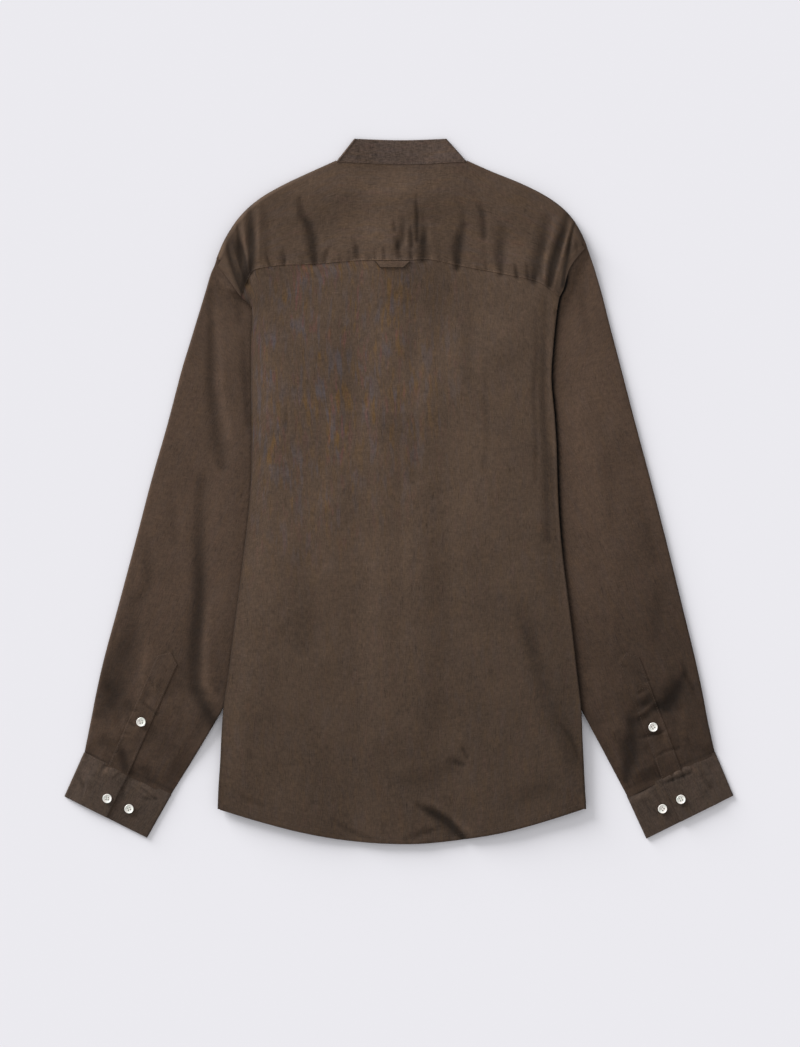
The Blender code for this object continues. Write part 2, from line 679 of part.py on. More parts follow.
def sleeve(side):
    """One sleeve: a flattened tube, open along the armhole and cut by the slit under its placket."""
    rows = []
    table = refine(SLEEVE[side], 2)
    slit_row = next(j for j, row in enumerate(table) if row[3] < SLIT_TOP)
    for j, (outer_x, outer_y, inner_x, inner_y) in enumerate(table):
        outer, inner = np.array([side * outer_x, outer_y]), np.array([side * inner_x, inner_y])
        width = np.linalg.norm(inner - outer)
        across = (inner - outer) / width
        closed = j >= 2 * UNDERARM_ROW
        if not closed:
            inner = inner + across * LAP
        inset = FOLD_INSET / width
        shares = [inset] + list(SLEEVE_SHARES[1:-1]) + [1 - inset if closed else 1.0]
        cut = SLIT_HALF / width if j > slit_row else 0.0
        beside = [shares[SLIT_COLUMN] - cut, shares[SLIT_COLUMN] + cut]
        over_shares = shares[:SLIT_COLUMN] + beside + shares[SLIT_COLUMN + 1 :]
        under = [laid("sleeve_under", outer + (inner - outer) * t) for t in shares[::-1]]
        over = [laid("sleeve_over", outer + (inner - outer) * t) for t in over_shares]
        outermost = np.append(outer, (under[-1][2] + over[0][2]) / 2)
        if closed:
            innermost = np.append(inner, (under[0][2] + over[-1][2]) / 2)
            rows.append(under + [outermost] + over + [innermost, under[0]])
        else:
            rows.append(under + [outermost] + over + [None, None])
    slit = (len(SLEEVE_SHARES) + 1 + SLIT_COLUMN, slit_row)
    return cloth("sleeve_" + SIDE_NAMES[side], rows, SLEEVE_BROWN, slit=slit)


def placket(side):
    """The strip over the slit: its pointed top on the sleeve, its lower end at the cuff."""
    (top_x, top_y), (low_x, low_y) = PLACKET[side]
    top, low = np.array([side * top_x, top_y]), np.array([side * low_x, low_y])
    along = (low - top) / np.linalg.norm(low - top)
    outward = side * np.array([abs(along[1]), side * abs(along[0])])
    seam = [np.array([side * p[0], p[1]]) for p in (SLEEVE_OUTER[side][-1], SLEEVE_INNER[side][-1])]
    seam_way = (seam[1] - seam[0]) / np.linalg.norm(seam[1] - seam[0])
    rows = []
    for t in np.linspace(0.0, 1.0, 9):
        row = []
        for share in (0.0, 0.5, 1.0):
            start = top + outward * PLACKET_WIDTH * share - along * PLACKET_POINT * (1 - abs(2 * share - 1))
            # The lower end follows the cuff's seam.
            across = low + outward * PLACKET_WIDTH * share
            end = seam[0] + seam_way * np.dot(across - seam[0], seam_way) - along * SEAM_GAP
            row.append(laid("sleeve_over", start + (end - start) * t, PLACKET_RISE))
        rows.append(row)
    return cloth("placket_" + SIDE_NAMES[side], rows, SLEEVE_BROWN)


def cuff_frame(side):
    """A function from (share across, share down) to a point of the cuff in plan."""
    corners = [np.array([side * p[0], p[1]]) for p in (SLEEVE_OUTER[side][-1], SLEEVE_INNER[side][-1])]
    wrist = [np.array([side * CUFF[side][name][0], CUFF[side][name][1]]) for name in ("outer", "inner")]
    down = (wrist[0] - corners[0]) / np.linalg.norm(wrist[0] - corners[0])
    corners = [point + down * 2 * SEAM_GAP for point in corners]

    def place(a, b):
        return (corners[0] * (1 - a) + corners[1] * a) * (1 - b) + (wrist[0] * (1 - a) + wrist[1] * a) * b

    return place


def cuff_height(share, level):
    """Middle of the cuff's wall: 0 underneath, 1 in the underlap, 2 in the overlap where that lies on it."""
    if level == 2:
        level = 1 + smooth_step((share - UNDERLAP_CLEAR) / (UNDERLAP_SHARE - 2 * UNDERLAP_CLEAR))
    return CUFF_WALL / 2 + CUFF_RISE * level


def cuff(side):
    """One cuff: a strip from its overlap's end, round the outer fold, underneath, and back as the underlap."""
    place = cuff_frame(side)
    inset = CUFF_INSET_SHARE
    lap = CUFF[side]["lap"]
    stations = [(a, 2) for a in np.linspace(lap, inset, 6)] + [(0.0, None)]
    stations += [(a, 0) for a in np.linspace(inset, 1 - inset, 6)] + [(1.0, None)]
    stations += [(a, 1) for a in np.linspace(1 - inset, UNDERLAP_SHARE, 7)]
    rows = []
    for b in (0.0, 0.5, 1.0):
        row = []
        for a, level in stations:
            z = CUFF_WALL / 2 + CUFF_RISE / 2 if level is None else cuff_height(a, level)
            row.append(np.append(place(a, b), z))
        rows.append(row)
    return cloth("cuff_" + SIDE_NAMES[side], rows, CUFF_BROWN, wall=CUFF_WALL)


# Buttons


def sleeve_buttons(side):
    """The button on a placket, and the two on its cuff."""
    tops = {
        "placket": PLACKET_RISE + WALL / 2,
        "cuff_outer": cuff_height(1.0, 2) + CUFF_WALL / 2,
        "cuff_inner": cuff_height(1.0, 1) + CUFF_WALL / 2,
    }
    for where, (reach, y) in SLEEVE_BUTTONS[side].items():
        place = (side * reach, y)
        base = laid("sleeve_over", place)[2] if where == "placket" else 0.0
        button(f"button_{where}_{SIDE_NAMES[side]}", place, base + tops[where] + BUTTON_GAP)


def front_buttons():
    """The buttons down the front and at the collar, whose faces lie on the floor."""
    for k in range(FRONT_BUTTONS):
        button(f"button_front_{k + 1}", (0.0, FIRST_BUTTON - k * BUTTON_PITCH), 0.0, face_up=False)
    button("button_collar", (0.0, neck_front(0.0)[1] + COLLAR_HEIGHT / 2), 0.0, face_up=False)


def main():
    for thing in list(bpy.data.objects):
        bpy.data.objects.remove(thing, do_unlink=True)
    back_panel()
    yoke()
    collar_band()
    hanger_loop()
    front_band()
    for side in (LEFT, RIGHT):
        front(side)
        sleeve(side)
        placket(side)
        cuff(side)
        sleeve_buttons(side)
    front_buttons()


main()
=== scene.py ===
"""A linen shirt laid flat with its back up: its cloth, stitching, buttons, finishes and studio.

Metres, in the frame of the solids: X to the right across the back, Y up to the collar, Z up from the floor.
Each cloth is a grid moved into place: a patch between the piece's cut edges, lifted by the layers beneath it,
with the folds of the tables laid in. Its UV map "threads" is the flat cut in metres, so the weave
follows the cloth, and its attribute of painted crease shade says how deep in a fold each point lies.
"""

import math

import bmesh
import bpy
import numpy as np
from mathutils import Matrix, Vector
from mathutils.bvhtree import BVHTree


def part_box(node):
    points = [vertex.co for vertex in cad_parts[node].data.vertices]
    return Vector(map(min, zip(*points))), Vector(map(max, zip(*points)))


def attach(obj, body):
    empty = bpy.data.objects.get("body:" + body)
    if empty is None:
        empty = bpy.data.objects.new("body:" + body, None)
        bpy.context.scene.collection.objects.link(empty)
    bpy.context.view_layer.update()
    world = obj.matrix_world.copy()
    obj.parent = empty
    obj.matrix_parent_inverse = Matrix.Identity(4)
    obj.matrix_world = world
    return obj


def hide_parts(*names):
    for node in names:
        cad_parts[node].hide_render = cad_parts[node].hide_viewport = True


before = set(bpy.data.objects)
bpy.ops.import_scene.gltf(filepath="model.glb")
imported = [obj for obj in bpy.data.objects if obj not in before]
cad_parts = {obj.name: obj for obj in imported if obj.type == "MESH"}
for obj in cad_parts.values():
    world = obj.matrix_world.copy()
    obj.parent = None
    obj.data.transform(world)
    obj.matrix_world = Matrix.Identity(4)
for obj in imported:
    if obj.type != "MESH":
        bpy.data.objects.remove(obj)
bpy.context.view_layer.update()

# Walls of the cloth, and of the loop's tape
CLOTH = 0.0005
PLACKET_CLOTH = 0.0007
COLLAR_CLOTH = 0.0010
STIFF_CLOTH = 0.0012
TAPE = 0.0012
TAPE_CLOTH = 0.0004

# Rolled edges, turned hems and soft corners
ROLL_STEPS = 6
ROLL_INSET = 0.002
LEAST_ROLL = 0.05
HEM_TURN = 0.0004
HEM_DEPTH = 0.007
SOFT_RIM = 0.0004
WELD = 0.00002

# Painted shade in the cloth's colour: the depth of trough that counts as 1, its limits, and what puckers,
# edges and seams add, the seams as a painted highlight
CREASE_DEPTH = 0.0013
LIGHTEST, DARKEST = -0.7, 1.3
PUCKER_PAINTED_SHADE = 0.9
EDGE_PAINTED_SHADE = 1.25
EDGE_STEEP = 0.88
RIM_PAINTED_SHADE = 0.75
SEAM_PAINTED_HIGHLIGHT = 0.6

# Cut of the body, as the solids have it
LEFT, RIGHT = -1, 1
SIDES = (LEFT, RIGHT)
SIDE_NAMES = {LEFT: "left", RIGHT: "right"}
LAP = 0.003
SEAM_GAP = 0.0004
FRONT_BAND_HALF = 0.016
BAND_BELOW_NECK = 0.002
STAND_PAST_MIDDLE = 0.010
SEWN_BEFORE_MIDDLE = 0.0145
FRONT_YOKE = 0.030
FRONT_HEM_SHORT = 0.006
FRONT_CORNER_IN = 0.001
LEAST_TUCK = 0.0005
TUCK_OPENS = 0.012

# How far beyond an edge the layers on it keep their height, and how far they then take to come down
MARGIN = 0.007
RAMP = 0.040
TOP_RAMP = 0.120

# Neck and collar
NECK_HALF = 0.075
NECK_TOP = 0.380
NECK_SAG_BACK = 0.003
NECK_DROP_FRONT = 0.085
NECK_YOKE_ANGLE = math.radians(71)
COLLAR_HEIGHT = 0.028
COLLAR_SIDE_EXTRA = 0.0046
COLLAR_LEAN = math.radians(40)
COLLAR_IN = {LEFT: 0.0, RIGHT: 0.0026}
COLLAR_INSIDE = 0.0003
COLLAR_LAP_ANGLE = math.radians(9.2)
COLLAR_FRONT_END = math.radians(84)
COLLAR_RIM_SAG = 0.0015
COLLAR_PRESSED = 0.0013

# Buttons
BUTTON_RADIUS = 0.0053
BUTTON_THICK = 0.0020
BUTTON_GAP = 0.0005
FRONT_BUTTONS = 7
FIRST_BUTTON = 0.255
BUTTON_PITCH = 0.085

# Sleeve openings
SLIT_SHARE = 0.42
SLIT_HALF = 0.0005
SLIT_TOP = -0.200
UNDERARM_ROW = 6
PLACKET_WIDTH = 0.025
PLACKET_POINT = 0.010
PLACKET_RISE = 0.0007
CUFF_WALL = 0.0014
CUFF_RISE = 0.0018
UNDERLAP_SHARE = 0.24
UNDERLAP_CLEAR = 0.04

# Rise of the upper cloth over what it lies on, and how far in from a fold it is complete
BACK_LOFT = 0.0018
BACK_SLOPE = 0.030
SLEEVE_LOFT = 0.0028
SLEEVE_SLOPE = 0.025
SLEEVE_EDGE_LOFT = 0.90
SEAM_LIFT = 0.0018
SEAM_LIFT_REACH = 0.060

# Unevenness of the upper cloth: the rise, the size of its patches and the seed of each
CRUMPLE = ((0.00040, 0.034, 3), (0.00016, 0.013, 4), (0.00006, 0.006, 5))
WRIST_CRUMPLE = ((0.00035, 0.0130, 21), (0.00021, 0.0070, 22))
WRIST_CRUMPLE_TOP = -0.165
WRIST_CRUMPLE_RUN_IN = 0.070
PUCKERS = ((0.00060, 0.0060, 8), (0.00036, 0.0035, 9))
PUCKER_ABOVE, PUCKER_BELOW = 0.0060, 0.0030

# Folds: how flat their tops are, and how deep they start before they are complete along their spine
FOLD_FLATNESS = 2.2
FOLD_START = 0.45
FOLD_RUN_IN = 0.4

# Layers from the floor up, and the height that each adds to what lies on it
OFF_FLOOR = 0.0005
LAYERS = {
    "button": 0.0024,
    "front_band": 0.0018,
    "front_yoke": 0.0017,
    "front": 0.0020,
    "front_tuck": 0.0018,
    "sleeve_under": 0.0015,
    "sleeve_over": 0.0018,
    "back_tuck": 0.0022,
    "back": 0.0023,
    "yoke": 0.0016,
    "collar": 0.0016,
}

# Shoulder outlines, from the neck to the armhole: from the middle, height
SHOULDER = {
    LEFT: (
        (0.075, 0.380), (0.1035, 0.3671), (0.1329, 0.3533), (0.1577, 0.3395), (0.1757, 0.3257),
        (0.1885, 0.3119), (0.1979, 0.2981), (0.2054, 0.2843), (0.2125, 0.267),
    ),
    RIGHT: (
        (0.075, 0.380), (0.1040, 0.3671), (0.1377, 0.3533), (0.1650, 0.3395), (0.1844, 0.3257),
        (0.1971, 0.3119), (0.2055, 0.2981), (0.2088, 0.2912), (0.2114, 0.285),
    ),
}

# Armholes, from the shoulder to the underarm: from the middle, height
ARMHOLE = {
    LEFT: (
        (0.2108, 0.2592), (0.198, 0.2422), (0.1847, 0.2235), (0.172, 0.208),
        (0.151, 0.184), (0.105, 0.137), (0.059, 0.088),
    ),
    RIGHT: (
        (0.2105, 0.2790), (0.1935, 0.2570), (0.1862, 0.2330), (0.1815, 0.2235), (0.174, 0.210),
        (0.155, 0.190), (0.107, 0.138), (0.059, 0.088),
    ),
}
YOKE_CORNER = {LEFT: 2, RIGHT: 3}

# Edges of the body where its sides fold in: height, then from the middle on the left and on the right
FOLD_EDGE = (
    (0.208, 0.172, 0.1785),
    (0.170, 0.1725, 0.1745),
    (0.130, 0.1725, 0.172),
    (0.088, 0.172, 0.1755),
    (0.050, 0.172, 0.178),
    (0.013, 0.1725, 0.179),
    (-0.030, 0.176, 0.181),
    (-0.075, 0.1815, 0.185),
    (-0.122, 0.1875, 0.191),
    (-0.170, 0.1935, 0.197),
    (-0.210, 0.1985, 0.2015),
    (-0.247, 0.204, 0.206),
    (-0.280, 0.2065, 0.2075),
    (-0.310, 0.208, 0.209),
    (-0.340, 0.210, 0.2105),
    (-0.365, 0.211, 0.212),
)

# Side seam at the bottom of each tuck, below the underarm: from the middle, height
SIDE_SEAM = ((0.082, -0.033), (0.117, -0.229), (0.141, -0.352))

# Yoke seam between its corners, and hem, from left to right: x, y
YOKE_SEAM = (
    (-0.185, 0.223), (-0.1790, 0.2375), (-0.1732, 0.2495), (-0.1690, 0.2540), (-0.1620, 0.2562),
    (-0.150, 0.2580), (-0.135, 0.260), (-0.101, 0.261), (-0.050, 0.265), (0.000, 0.265),
    (0.033, 0.266), (0.067, 0.259), (0.114, 0.250), (0.157, 0.240), (0.1815, 0.2235),
)
HEM = (
    (-0.211, -0.3645), (-0.163, -0.379), (-0.117, -0.391), (-0.071, -0.3995), (-0.025, -0.404),
    (0.021, -0.4045), (0.067, -0.400), (0.113, -0.3925), (0.159, -0.3805), (0.212, -0.3635),
)

# Sleeve sections, from the shoulder to the cuff: the outer edge, then the armhole or underarm edge, each
# from the middle and height
SLEEVE = {
    LEFT: (
        (0.2116, 0.2690, 0.2100, 0.2690),
        (0.2143, 0.2600, 0.2100, 0.2585),
        (0.2190, 0.249, 0.198, 0.2415),
        (0.2250, 0.229, 0.185, 0.222),
        (0.233, 0.203, 0.151, 0.184),
        (0.243, 0.170, 0.105, 0.137),
        (0.253, 0.137, 0.059, 0.088),
        (0.269, 0.076, 0.083, 0.034),
        (0.287, 0.013, 0.108, -0.024),
        (0.305, -0.056, 0.134, -0.086),
        (0.325, -0.131, 0.162, -0.150),
        (0.341, -0.190, 0.187, -0.208),
        (0.350, -0.229, 0.204, -0.247),
        (0.357, -0.265, 0.235, -0.300),
        (0.3640, -0.2995, 0.2645, -0.3475),
    ),
    RIGHT: (
        (0.2108, 0.2870, 0.2098, 0.2870),
        (0.2138, 0.278, 0.2098, 0.2770),
        (0.2176, 0.267, 0.200, 0.265),
        (0.2226, 0.252, 0.188, 0.247),
        (0.2308, 0.224, 0.174, 0.210),
        (0.2388, 0.192, 0.119, 0.151),
        (0.2519, 0.142, 0.059, 0.088),
        (0.2691, 0.076, 0.081, 0.034),
        (0.2860, 0.013, 0.104, -0.024),
        (0.3038, -0.056, 0.129, -0.086),
        (0.3223, -0.131, 0.160, -0.150),
        (0.3367, -0.190, 0.188, -0.208),
        (0.3452, -0.229, 0.205, -0.247),
        (0.352, -0.265, 0.232, -0.298),
        (0.3596, -0.2990, 0.2590, -0.3490),
    ),
}

# Cuffs: corners at the wrist, and where the overlap starts, as a share of the width from the outer side
CUFF = {
    LEFT: {"outer": (0.387, -0.351), "inner": (0.293, -0.398), "lap": 0.51},
    RIGHT: {"outer": (0.381, -0.350), "inner": (0.282, -0.399), "lap": 0.61},
}

# Free edge of each sleeve placket, from its top to the cuff: from the middle, height
PLACKET = {
    LEFT: ((0.2575, -0.199), (0.3125, -0.3220)),
    RIGHT: ((0.2500, -0.199), (0.2985, -0.3285)),
}

# Hanger loop, just below the yoke seam: x of its ends at the top and at the bottom, and those heights
LOOP_TOP = (-0.0308, 0.0105)
LOOP_BOTTOM = (-0.0250, 0.0028)
LOOP_HEIGHTS = (0.2638, 0.2570)
LOOP_RISE = 0.0013

# Folds in millimetres: the rise, below 0 for a trough, then the spine's points, each x, y and half width
YOKE_FOLDS = (
    (-0.7, (-198, 293, 5.8), (-189, 277, 8.0), (-182, 257, 8.0), (-180, 241, 4.6)),
    (-1.3, (-200, 289, 2.1), (-198, 272, 2.8), (-194, 257, 3.0), (-188, 241, 3.0), (-183, 228, 1.8)),
    (-1.6, (-188, 305, 1.8), (-186, 287, 3.2), (-182, 270, 4.1), (-178, 254, 4.1), (-176, 239, 2.5)),
    (0.5, (-194, 282, 1.4), (-189, 264, 1.5), (-183, 247, 1.5), (-179, 236, 1.1)),
    (0.8, (-182, 314, 2.3), (-180, 289, 2.2), (-177, 268, 2.0), (-175, 252, 1.5)),
    (-1.3, (-174, 328, 3.2), (-173, 306, 4.8), (-172, 283, 5.3), (-172, 266, 4.6), (-173, 250, 2.8)),
    (0.5, (-164, 328, 2.8), (-164, 295, 2.5), (-164, 264, 1.7)),
    (-0.6, (-157, 326, 4.0), (-155, 298, 6.3), (-153, 275, 5.2)),
    (-1.0, (-155, 273, 1.8), (-153, 265, 2.3), (-151, 258, 1.4)),
    (-0.6, (-135, 279, 3.4), (-136, 264, 3.9)),
    (-0.9, (-133, 269, 1.8), (-134, 259, 2.1)),
    (
        -1.5, (-117, 335, 2.9), (-113, 315, 5.3), (-106, 304, 6.0),
        (-102, 288, 6.9), (-100, 273, 6.4), (-99, 261, 2.8),
    ),
    (-0.7, (-82, 280, 2.3), (-87, 269, 2.8), (-88, 262, 2.1)),
    (-1.1, (-53, 285, 2.5), (-51, 277, 4.1), (-51, 268, 3.7)),
    (-0.7, (-30, 276, 1.6), (-30, 267, 1.7)),
    (-0.8, (-20, 279, 1.6), (-19, 268, 2.0)),
    (-1.1, (-5, 291, 3.0), (-3, 269, 3.7)),
    (-1.0, (1, 312, 3.9), (2, 293, 4.8), (-3, 280, 3.7)),
    (-1.0, (11, 303, 2.2), (12, 281, 2.4)),
    (-0.8, (-9, 310, 2.3), (-7, 298, 2.5)),
    (0.5, (6, 305, 2.3), (6, 282, 2.3)),
    (-1.0, (10, 277, 2.1), (11, 267, 2.3)),
    (-1.0, (17, 339, 1.8), (18, 318, 2.5), (18, 287, 2.3)),
    (-0.6, (20, 330, 5.2), (24, 310, 6.9), (25, 289, 6.3)),
    (-1.3, (27, 299, 3.7), (26, 285, 5.1), (26, 275, 5.3), (25, 265, 3.9)),
    (-1.6, (72, 305, 3.9), (67, 289, 6.9), (65, 273, 7.1), (64, 256, 4.1)),
    (-0.4, (71, 326, 4.6), (71, 307, 5.8)),
    (-1.0, (90, 330, 3.4), (94, 316, 4.4), (95, 291, 3.9)),
    (-0.35, (94, 283, 4.6), (96, 270, 4.6)),
    (-1.2, (117, 300, 6.3), (114, 281, 6.9), (114, 266, 6.4), (114, 249, 3.4)),
    (-1.0, (131, 259, 2.1), (133, 246, 2.3)),
    (-0.7, (97, 264, 2.1), (98, 253, 2.1)),
    (-0.7, (144, 264, 2.1), (145, 245, 2.3)),
    (-1.1, (166, 312, 5.8), (162, 289, 6.9), (157, 270, 7.6), (154, 257, 8.0), (152, 242, 6.4)),
    (0.7, (178, 311, 3.4), (171, 285, 3.4), (166, 264, 3.0), (164, 243, 2.1)),
    (-1.7, (191, 319, 3.4), (186, 297, 5.1), (180, 277, 5.3), (175, 261, 5.3), (170, 236, 3.4)),
    (0.9, (197, 310, 1.5), (190, 289, 2.0), (185, 270, 2.0), (180, 253, 1.7), (175, 234, 1.5)),
    (-1.7, (198, 307, 1.7), (194, 289, 2.5), (191, 270, 3.0), (187, 252, 3.0), (185, 236, 2.5)),
    (-0.6, (201, 285, 1.8), (202, 275, 1.8)),
    (0.5, (194, 268, 2.3), (204, 277, 2.3)),
)

# Painted shade of the hollows between the folds at the shoulders and collar, told in the same way
YOKE_PAINTED_HOLLOWS = (
    (-0.8, (-198, 303, 4.6), (-193, 282, 6.9), (-187, 261, 8.0), (-183, 238, 5.8)),
    (-0.8, (-186, 257, 4.6), (-182, 238, 4.6), (-183, 229, 2.9)),
    (-0.6, (-173, 319, 5.8), (-172, 289, 7.5), (-171, 264, 5.2), (-171, 252, 3.4)),
    (-0.6, (-178, 229, 4.0), (-176, 218, 4.0), (-174, 199, 2.9)),
    (-0.4, (168, 319, 6.9), (166, 289, 8.0), (159, 264, 8.0), (155, 238, 5.8)),
    (-0.5, (190, 316, 4.6), (182, 289, 5.8), (175, 264, 5.8), (171, 238, 4.6)),
    (-0.5, (198, 310, 4.6), (205, 291, 8.0), (202, 273, 6.9)),
    (-0.9, (186, 241, 3.4), (183, 227, 4.0), (181, 213, 2.3)),
    (-0.45, (10, 316, 9.2), (14, 289, 12.6), (19, 270, 10.3)),
)

BACK_FOLDS = (
    (-0.5, (11, 252, 8.0), (11, 162, 9.2), (13, 70, 9.2), (12, 13, 6.9)),
    (-0.35, (98, 151, 2.9), (97, 105, 4.0), (99, 59, 3.7), (96, 24, 3.4)),
    (-0.9, (165, 224, 3.4), (162, 105, 4.1), (166, 47, 4.6), (168, -56, 4.6)),
    (-0.55, (154, 208, 2.1), (156, 162, 2.8), (152, 111, 3.2), (155, 59, 2.8), (154, 13, 2.5)),
    (-0.5, (171, 82, 1.7), (172, 24, 2.3), (177, -56, 1.8)),
    (0.5, (172, 231, 3.4), (170, 128, 4.0), (174, 47, 3.4)),
    (-0.6, (-132, 101, 1.5), (-132, 67, 1.5)),
    (-0.4, (79, 220, 6.9), (76, 128, 9.2)),
    (-0.35, (-65, 185, 11.5), (-59, 82, 13.8)),
    (-0.3, (-117, -33, 13.8), (-110, -171, 16.1)),
    (-0.35, (44, -56, 13.8), (51, -194, 16.1)),
    (-0.6, (137, -146, 5.8), (150, -177, 9.2), (166, -229, 12.6), (182, -269, 11.5), (200, -311, 9.2)),
    (-0.3, (132, -114, 8.0), (145, -154, 10.3), (152, -183, 8.0)),
    (-0.7, (181, -265, 2.3), (195, -283, 3.0), (202, -305, 2.3)),
    (-1.0, (57, -309, 4.1), (71, -314, 3.4)),
    (-0.9, (68, -291, 1.7), (76, -306, 1.7)),
    (-0.5, (-175, -300, 3.4), (-170, -306, 3.4)),
    (-2.0, (19, -361, 3.2), (35, -369, 5.1), (53, -380, 6.0), (71, -398, 4.4)),
    (-0.7, (44, -387, 4.0), (58, -397, 4.6)),
    (0.6, (26, -353, 3.4), (51, -368, 3.7), (81, -393, 3.4)),
    (-1.0, (5, -401, 3.4), (27, -392, 2.8), (45, -386, 1.6)),
    (0.5, (26, -378, 3.4), (51, -394, 3.4)),
    (-0.7, (-78, -378, 3.4), (-59, -391, 3.0), (-34, -400, 2.3)),
    (-0.5, (-10, -334, 9.2), (29, -332, 11.5), (58, -318, 10.3)),
    (-0.6, (-211, -340, 1.7), (-202, -338, 1.7)),
    (-0.5, (-191, -345, 2.3), (-174, -355, 2.9), (-159, -361, 2.9)),
    (-0.5, (127, -356, 9.2), (168, -342, 12.6)),
    (-0.4, (-145, -282, 1.8), (-129, -278, 1.6)),
)

SLEEVE_FOLDS = (
    (
        -1.0, (-218, 231, 4.6), (-218, 174, 4.6), (-219, 122, 5.8),
        (-214, 82, 7.5), (-209, 47, 8.0), (-206, 28, 5.8),
    ),
    (0.5, (-208, 185, 3.4), (-205, 116, 4.6), (-196, 59, 4.6)),
    (-0.9, (-182, 176, 3.4), (-181, 145, 4.6), (-179, 111, 3.4), (-177, 76, 3.4)),
    (-0.7, (-189, 220, 4.6), (-186, 195, 3.4)),
    (
        -1.45, (-229, 13, 5.8), (-232, -33, 7.5), (-232, -79, 8.0), (-231, -125, 8.6), (-234, -160, 9.8),
        (-237, -194, 9.8), (-236, -226, 8.6), (-228, -245, 8.0), (-218, -264, 8.0),
    ),
    (1.0, (-221, -137, 4.6), (-224, -183, 5.2), (-223, -222, 5.2), (-214, -240, 4.6)),
    (-0.4, (-264, 1, 5.8), (-260, -56, 5.8)),
    (-0.6, (-294, -56, 6.9), (-290, -102, 6.9), (-300, -125, 6.9)),
    (
        -1.0, (-308, -125, 6.9), (-311, -167, 11.5), (-319, -188, 14.9),
        (-328, -213, 17.2), (-334, -240, 16.1),
    ),
    (-0.4, (-326, -157, 2.3), (-332, -171, 2.3)),
    (-0.35, (-343, -213, 9.2), (-328, -229, 10.3), (-316, -242, 8.0)),
    (-1.2, (-324, -288, 4.0), (-319, -305, 6.3), (-318, -321, 5.8)),
    (-0.7, (-350, -288, 5.8), (-332, -293, 5.8)),
    (-0.6, (-333, -301, 1.4), (-326, -299, 1.4)),
    (-0.7, (-301, -318, 3.4), (-290, -321, 3.4)),
    (0.5, (-289, -171, 4.6), (-301, -240, 5.8)),
    (-0.8, (-302, -239, 1.6), (-292, -247, 1.7), (-281, -256, 1.3)),
    (-0.6, (-311, -250, 1.6), (-303, -253, 1.6)),
    (-0.7, (-313, -265, 1.8), (-306, -270, 1.8)),
    (-0.6, (-325, -276, 1.8), (-313, -279, 1.8)),
    (-0.5, (-273, -186, 1.3), (-266, -180, 1.4), (-259, -190, 1.4)),
    (-0.5, (-273, -199, 1.5), (-269, -207, 1.5)),
    (-0.6, (-290, -216, 1.6), (-285, -223, 1.6)),
    (-1.6, (324, -213, 5.2), (319, -225, 9.8), (312, -237, 11.5), (305, -247, 9.2)),
    (-0.8, (301, -246, 5.8), (292, -245, 6.9), (283, -244, 6.9)),
    (-1.0, (323, -196, 2.3), (328, -214, 3.0), (335, -227, 2.3)),
    (-1.1, (287, -237, 4.6), (274, -247, 6.9), (263, -261, 6.9)),
    (
        -1.7, (293, -249, 3.4), (280, -259, 5.2), (267, -270, 7.5), (262, -287, 9.2),
        (264, -303, 9.2), (260, -318, 8.0), (258, -332, 5.2),
    ),
    (-1.0, (274, -283, 2.3), (288, -280, 2.3), (301, -276, 1.7)),
    (-0.7, (283, -227, 2.1), (274, -231, 2.3)),
    (-0.4, (278, -219, 1.3), (285, -217, 1.3)),
    (-0.7, (290, -306, 1.7), (303, -299, 1.8), (319, -294, 1.6)),
    (0.6, (294, -239, 1.7), (278, -254, 2.0), (267, -259, 1.7)),
    (0.6, (300, -259, 3.4), (306, -286, 5.8)),
    (-0.5, (248, -203, 1.4), (248, -194, 1.4), (252, -186, 1.4), (260, -185, 1.4), (267, -188, 1.4)),
    (-0.5, (251, -201, 1.3), (259, -202, 1.3)),
    (-0.4, (271, -207, 1.3), (279, -211, 1.3)),
    (-0.5, (297, -102, 8.0), (292, -171, 9.2)),
    (-0.3, (250, -142, 4.0), (249, -177, 3.4)),
    (-0.5, (205, 252, 5.8), (212, 185, 5.8)),
    (-0.4, (228, 82, 8.0), (242, -33, 9.2)),
    (-0.4, (274, -10, 8.0), (292, -79, 8.0)),
)

CUFF_FOLDS = (
    (-1.1, (-351, -306, 2.3), (-338, -309, 3.0), (-326, -315, 3.2), (-312, -323, 2.8)),
    (-1.0, (-311, -328, 2.8), (-298, -332, 2.8), (-282, -341, 2.3)),
    (0.7, (-342, -321, 5.2), (-328, -326, 5.2)),
    (0.8, (-306, -336, 4.6), (-293, -344, 5.2), (-286, -349, 3.4)),
    (-0.8, (-346, -325, 2.0), (-341, -316, 2.2), (-334, -315, 2.0)),
    (-0.7, (-332, -331, 2.0), (-324, -325, 2.0)),
    (-0.9, (-301, -340, 2.0), (-293, -346, 2.1), (-282, -354, 1.8)),
    (-0.7, (-297, -352, 1.8), (-290, -355, 1.8)),
    (-0.5, (-326, -334, 2.0), (-320, -344, 2.1), (-321, -355, 1.8)),
    (-0.5, (-371, -326, 2.0), (-365, -338, 2.2), (-367, -351, 1.8)),
    (-0.4, (-350, -346, 4.6), (-364, -337, 4.6)),
    (-1.1, (259, -352, 2.3), (277, -344, 2.5), (290, -336, 2.1)),
    (-1.1, (296, -330, 2.3), (313, -321, 2.8), (332, -313, 2.5)),
    (-1.1, (336, -311, 2.3), (355, -303, 2.3)),
    (0.9, (304, -329, 5.8), (324, -319, 5.8)),
    (0.6, (264, -356, 4.6), (283, -349, 4.6)),
    (-0.9, (310, -318, 1.8), (312, -332, 2.0)),
    (-0.9, (320, -315, 1.8), (325, -329, 2.0)),
    (-0.8, (301, -336, 1.8), (316, -330, 2.0), (332, -324, 1.8)),
    (-0.6, (290, -341, 2.0), (297, -355, 2.1), (298, -369, 1.8)),
    (-0.6, (343, -315, 2.0), (348, -329, 2.2), (356, -341, 2.0)),
    (-0.5, (278, -354, 2.0), (285, -367, 2.1)),
    (-0.4, (343, -357, 5.8), (357, -341, 5.8)),
)

